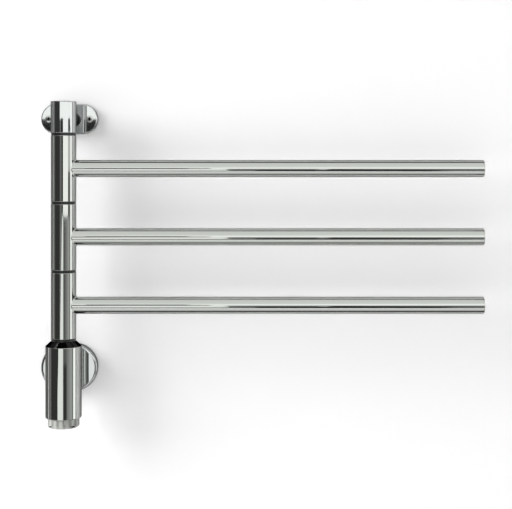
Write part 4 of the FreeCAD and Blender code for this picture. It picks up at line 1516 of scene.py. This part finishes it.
@dataclass
class Knob(Assembly):
    """The fluted, see-through knob under the housing."""

    edge: float = 2.0 * MM
    wall: float = 2.4 * MM
    floor: float = 2.6 * MM
    boss: float = 5.5 * MM
    boss_height: float = 10.0 * MM
    spindle_hole: float = 3.05 * MM
    flute_count: int = KNOB_FLUTES
    flute_width: float = 3.2 * MM
    flute_depth: float = 0.7 * MM
    notch_count: int = 4
    notch_width: float = 4.4 * MM
    notch_height: float = 1.8 * MM
    notch_depth: float = 1.6 * MM
    notch_rise: float = 1.2 * MM
    notch_lean: float = 0.9  # how square to its width a notch's side wall is

    @property
    def place(self) -> Place:
        """The knob's place."""
        return place_of("control_knob")

    @property
    def radius(self) -> float:
        """The knob's radius."""
        return self.place.size.x / 2

    def build(self) -> None:
        """Model the knob: a cup with a boss in it, fluted and notched round its side."""
        low, height = self.place.low.z, self.place.size.z
        foot = on_post(low)
        knob = round_blank("control_knob_skin", self.radius, foot, height, Axis.UP)
        bevel(knob, self.edge, WIDE_STEPS, rim(Axis.UP, low, foot, self.radius))
        sink_end(knob, Axis.UP, self.place.high.z, self.wall, self.floor - height)
        inner_floor = low + self.floor
        boss_ring = self.radius - self.wall - self.boss
        sink_end(knob, Axis.UP, inner_floor, boss_ring, self.boss_height)
        boss_top = inner_floor + self.boss_height
        sink_end(knob, Axis.UP, boss_top, self.boss - self.spindle_hole, -self.boss_height)
        cut_away(knob, self.flutes())
        cut_away(knob, self.notches())
        hand_over(knob, self.finishes.knob, "knob", "control_knob")
        # The notches' walls are painted black as shade, with the washers' acetal.
        dress_faces(knob, self.finishes.washer, self.in_notches())

    def flutes(self) -> Piece:
        """The cutter of all the flutes.

        Returns:
            The rods that the flutes are cut with, joined.
        """
        half_width = self.flute_width / 2
        rod = (half_width**2 + self.flute_depth**2) / (2 * self.flute_depth)
        low = self.place.low.z + self.edge + self.notch_height
        start = on_post(low)
        start.x += self.radius - self.flute_depth + rod
        length = self.place.high.z - low + OVERRUN
        first = round_blank("flute", rod, start, length, Axis.UP, SMALL_SIDES)
        return self.ring_of(first, self.flute_count)

    def notches(self) -> Piece:
        """The cutter of all the notches.

        Returns:
            The blocks that the notches are cut with, joined.
        """
        depth = self.notch_depth + OVERRUN
        middle = on_post(self.place.low.z + self.notch_rise + self.notch_height / 2)
        middle.x += self.radius + OVERRUN - depth / 2
        size = Vector((depth, self.notch_width, self.notch_height))
        return self.ring_of(box_blank("notch", middle, size), self.notch_count)

    def in_notches(self) -> Test:
        """A test for the walls of the notches, which are painted black as shade.

        Returns:
            A test of one face.
        """
        place, radius = self.place, self.radius
        turn = 2 * math.pi / self.notch_count

        def in_notch(side: Any) -> bool:
            """Whether a face is a wall of a notch."""
            middle = side.calc_center_median()
            out = middle - place.at_height(middle.z)
            angle = math.atan2(out.y, out.x)
            way = (math.floor(angle / turn) + 0.5) * turn
            deep = out.length * math.cos(angle - way) - radius + self.notch_depth
            beside = out.length * abs(math.sin(angle - way)) - self.notch_width / 2
            up = middle.z - place.low.z - self.notch_rise
            lean = abs(side.normal.x * math.sin(way) - side.normal.y * math.cos(way))
            on_wall = (
                abs(deep) < NEAR,
                abs(beside) < NEAR and lean > self.notch_lean,
                abs(up) < NEAR,
                abs(up - self.notch_height) < NEAR,
            )
            level = -NEAR < up < self.notch_height + NEAR
            return level and deep > -NEAR and beside < NEAR and any(on_wall)

        return in_notch

    def ring_of(self, first: Piece, count: int) -> Piece:
        """Turned copies of a cutter, evenly spaced, half a step from the X axis.

        Args:
            first: The cutter, which is used up.
            count: How many copies there are.

        Returns:
            The copies, joined.
        """
        cutters = [turned_copy(first, (number + 0.5) * 360 / count) for number in range(count)]
        bpy.data.objects.remove(first)
        return join(cutters)


# ---------------------------------------------------------------- the studio
CARD_TINT = "FDFFFC"


@dataclass(frozen=True)
class Card:
    """A flag or a lit screen beside the view, which shows only in the metal."""

    name: str
    middle: Triple
    width: float
    height: float
    turn: Triple  # degrees
    light: float  # how bright it is at its left or low end, where white paper in the room is 1
    far_light: float | None = None  # the same at its other end, where it fades
    fades_up: bool = False
    flare: float = 0.0  # how far its low left corner is drawn out

    def build(self) -> None:
        """Set up the card and its paint."""
        card = plane_blank(self.name, self.middle, self.turn, self.width, self.height)
        low_left, low_right = card.data.vertices[0], card.data.vertices[1]
        low_left.co -= (low_right.co - low_left.co).normalized() * self.flare
        card.visible_camera = False
        card.visible_diffuse = False
        card.visible_shadow = False
        card.data.materials.append(self.paint())

    def paint(self) -> Material:
        """The card's light, even or fading from one end to the other.

        Returns:
            The card's material.
        """
        material = blank_material(f"{self.name}_paint")
        tree = material.node_tree
        place = add_node(tree, "ShaderNodeUVMap")
        split = add_node(tree, "ShaderNodeSeparateXYZ", Vector=place.outputs[0])
        level = add_node(
            tree,
            "ShaderNodeMapRange",
            Value=split.outputs[1 if self.fades_up else 0],
            To_Min=self.light,
            To_Max=self.light if self.far_light is None else self.far_light,
        )
        paint = add_node(
            tree, "ShaderNodeEmission", Color=linear(CARD_TINT), Strength=level.outputs[0]
        )
        add_node(tree, "ShaderNodeOutputMaterial", Surface=paint.outputs[0])
        return material


def sighted(
    name: str,
    left: float,
    right: float,
    low: float,
    high: float,
    light: float,
    far_light: float | None = None,
    fades_up: bool = False,
    flare: float = 0.0,
    distance: float = 1.5,
) -> Card:
    """An upright card that stands square to the post's sight line to its middle.

    Args:
        name: The card's name.
        left: Its left edge, in degrees from straight out of the wall towards the bars.
        right: Its right edge, in the same degrees.
        low: The height of its low edge.
        high: The height of its high edge.
        light: Its light, as a card has it.
        far_light: The light at its other end.
        fades_up: Whether it fades upwards, and not to the right.
        flare: How far its low left corner is drawn out.
        distance: How far from the post it stands.

    Returns:
        The card.
    """
    middle_angle = (left + right) / 2
    round_by = math.radians(middle_angle)
    width = 2 * distance * math.tan(math.radians((right - left) / 2))
    middle = (
        distance * math.sin(round_by),
        on_post(0.0).y - distance * math.cos(round_by),
        (low + high) / 2,
    )
    turn = (90, 0, middle_angle)
    return Card(name, middle, width, high - low, turn, light, far_light, fades_up, flare)


# What the post and the bars mirror: upright cards from left to right, with the window above
# them and the skirting below, then those beside the bars, overhead and on the floor.
CARDS = (
    Card("left_wing", (-0.49, -0.084, -0.15), 0.168, 0.9, (90, 0, 90), 0.28),
    Card("left_wing_near", (-0.1, -0.0175, -0.15), 0.0532, 0.9, (90, 0, 41.2), 0.28),
    sighted("left_screen", -86, -76, -1.02, 0.3, 0.5, distance=1.6),
    sighted("left_flag", -76, -24, -1.02, 0.3, 0.06, distance=1.6),
    sighted("grey_strip", -25, -8, -0.2, 0.061, 0.24, distance=1.55),
    sighted("plate_flag", -13, -6, 0.02, 0.061, 0.03),
    sighted("camera_stand", -7, 4.6, -0.145, 0.04, 0.03, distance=1.0),
    sighted("low_screen", -4, 5.5, -0.9, -0.175, 1.45, flare=1.12),
    sighted("near_strip", 5.5, 14, -1.02, -0.175, 0.3),
    sighted("grey_screen", 14, 62, -1.02, -0.175, 0.1, 0.68),
    sighted("far_strip", 62, 74, -1.02, -0.068, 0.35),
    sighted("window_low", 3.5, 50, -0.175, 0.061, 1.7),
    sighted("window_side", 50, 74, -0.068, 0.024, 0.9),
    sighted("side_bar", 50, 70, 0.024, 0.061, 0.14),
    sighted("side_block", 50, 70, -0.175, -0.068, 0.14),
    sighted("window", -24, 74, 0.061, 0.46, 1.75, 1.4, True),
    sighted("front_skirt", 9, 28, -1.02, -0.5, 0.06, distance=1.35),
    sighted("skirting_board", -75, 75, -1.32, -0.9, 0.15, distance=1.65),
    Card("right_screen", (0.9, -0.186, -0.2), 0.28, 0.8, (90, 0, 90), 1.85),
    Card("right_wing", (0.53, -0.023, -0.15), 0.046, 0.9, (90, 0, 90), 0.1),
    Card("ceiling_panel", (0.3, -2.25, 1.4), 4.0, 4.1, (0, 0, 0), 1.3, 1.1, True),
    Card("ceiling_flag", (0.2, -0.09, 1.38), 3.0, 0.18, (0, 0, 0), 0.03),
    Card("top_flag", (0.22, -0.023, 0.155), 0.7, 0.046, (0, 0, 0), 0.03),
    Card("floor_board", (0.2, -1.0, -1.28), 3.0, 0.6, (0, 0, 0), 1.2),
    Card("floor_shade", (0.2, -0.425, -1.275), 3.0, 0.55, (0, 0, 0), 0.9, 0.6, True),
    Card("low_flag", (0.22, -0.055, -0.46), 0.7, 0.11, (0, 0, 0), 0.1),
)


@dataclass
class Studio:
    """A pale wall and floor, even light, a soft key light, and the cards around."""

    wall_width: float = 12.0
    wall_gap: float = 0.2 * MM  # from the plates' backs to the wall
    wall_colour: str = "FAFAFA"
    wall_lift: float = 0.1  # the share of full white that the wall has by itself
    floor_height: float = -1.3
    room_light: float = 0.35
    key_width: float = 3.2
    key_height: float = 5.5
    key_power: float = 455.0  # watts
    key_place: Triple = (-4.7, -1.95, 2.8)
    key_aim: Triple = (0.15, 0, -0.15)
    lens: float = 80.7  # in millimetres, as the sensor is
    sensor: float = 36.0
    camera_shift: float = -0.1736  # how far the view is moved down, in its own widths
    camera_near: float = 0.05
    camera_place: Triple = (214.6, -1326, -53.6)  # millimetres

    def build(self) -> None:
        """Set up the room, the cards, the light and the camera."""
        half = self.wall_width / 2
        pale = self.pale_paint()
        width, gap, floor = self.wall_width, self.wall_gap, self.floor_height
        wall = plane_blank("wall", (0, gap, floor + half), (90, 0, 0), width, width)
        ground = plane_blank("floor", (0, gap - half, floor), (0, 0, 0), width, width)
        for side in (wall, ground):
            side.data.materials.append(pale)
        self.build_world()
        for card in CARDS:
            card.build()
        self.build_key()
        self.build_camera()

    def pale_paint(self) -> Material:
        """Matt white paint, see-through from behind so that a view from there is free.

        Returns:
            The material of the wall and the floor.
        """
        material = blank_material("matt_white_paint")
        tree = material.node_tree
        side = add_node(tree, "ShaderNodeNewGeometry")
        paint = add_node(tree, "ShaderNodeBsdfDiffuse", Color=linear(self.wall_colour))
        lift = add_node(
            tree, "ShaderNodeEmission", Color=(1, 1, 1, 1), Strength=self.seen_lift(tree)
        )
        lifted = add_node(
            tree, "ShaderNodeAddShader", None, {0: paint.outputs[0], 1: lift.outputs[0]}
        )
        clear = add_node(tree, "ShaderNodeBsdfTransparent")
        mixed = add_node(
            tree,
            "ShaderNodeMixShader",
            None,
            {0: side.outputs["Backfacing"], 1: lifted.outputs[0], 2: clear.outputs[0]},
        )
        add_node(tree, "ShaderNodeOutputMaterial", Surface=mixed.outputs[0])
        return material

    def seen_lift(self, tree: Tree) -> Socket:
        """A little white that the paint has where it is seen, also in metal or a clear part.

        Args:
            tree: The paint's node tree.

        Returns:
            The socket that gives the lift's strength.
        """
        path = add_node(tree, "ShaderNodeLightPath")
        seen = path.outputs["Is Camera Ray"]
        for ray in ("Is Glossy Ray", "Is Transmission Ray"):
            seen = calculate(tree, "MAXIMUM", seen, path.outputs[ray])
        return calculate(tree, "MULTIPLY", seen, self.wall_lift)

    def build_world(self) -> None:
        """Set up the room's even white light."""
        world = bpy.data.worlds.new("studio")
        bpy.context.scene.world = world
        world.use_nodes = True
        tree = world.node_tree
        tree.nodes.clear()
        room = add_node(
            tree, "ShaderNodeBackground", Color=(1, 1, 1, 1), Strength=self.room_light
        )
        add_node(tree, "ShaderNodeOutputWorld", Surface=room.outputs[0])

    def build_key(self) -> None:
        """Set up the soft key light, far off at the upper left."""
        key = bpy.data.lights.new("key", "AREA")
        key.shape = "RECTANGLE"
        key.size = self.key_width
        key.size_y = self.key_height
        key.energy = self.key_power
        lamp = bpy.data.objects.new("key", key)
        bpy.context.scene.collection.objects.link(lamp)
        lamp.visible_glossy = False
        lamp.location = Vector(self.key_place)
        aim = Vector(self.key_aim) - lamp.location
        lamp.rotation_euler = aim.to_track_quat("-Z", "Y").to_euler()

    def build_camera(self) -> None:
        """Set up the camera as the photograph has it."""
        lens = bpy.data.cameras.new("camera")
        lens.lens = self.lens
        lens.sensor_width = self.sensor
        lens.shift_y = self.camera_shift
        lens.clip_start = self.camera_near
        camera = bpy.data.objects.new("camera", lens)
        bpy.context.scene.collection.objects.link(camera)
        camera.location = Vector(self.camera_place) * MM
        camera.rotation_euler = (math.pi / 2, 0, 0)
        bpy.context.scene.camera = camera


def main() -> None:
    """Build the towel bar and its studio, in order."""
    logging.basicConfig(level=logging.INFO, format="%(message)s")
    bpy.context.scene.view_settings.view_transform = "Standard"
    finishes = Finishes()
    finishes.dress_frame()
    UpperBracket(finishes).build()
    Post(finishes).build()
    for number in (1, 2, 3):
        SwingArm(finishes, number).build()
    Housing(finishes).build()
    LowerBracket(finishes).build()
    Knob(finishes).build()
    Studio().build()


if __name__ == "__main__":
    main()
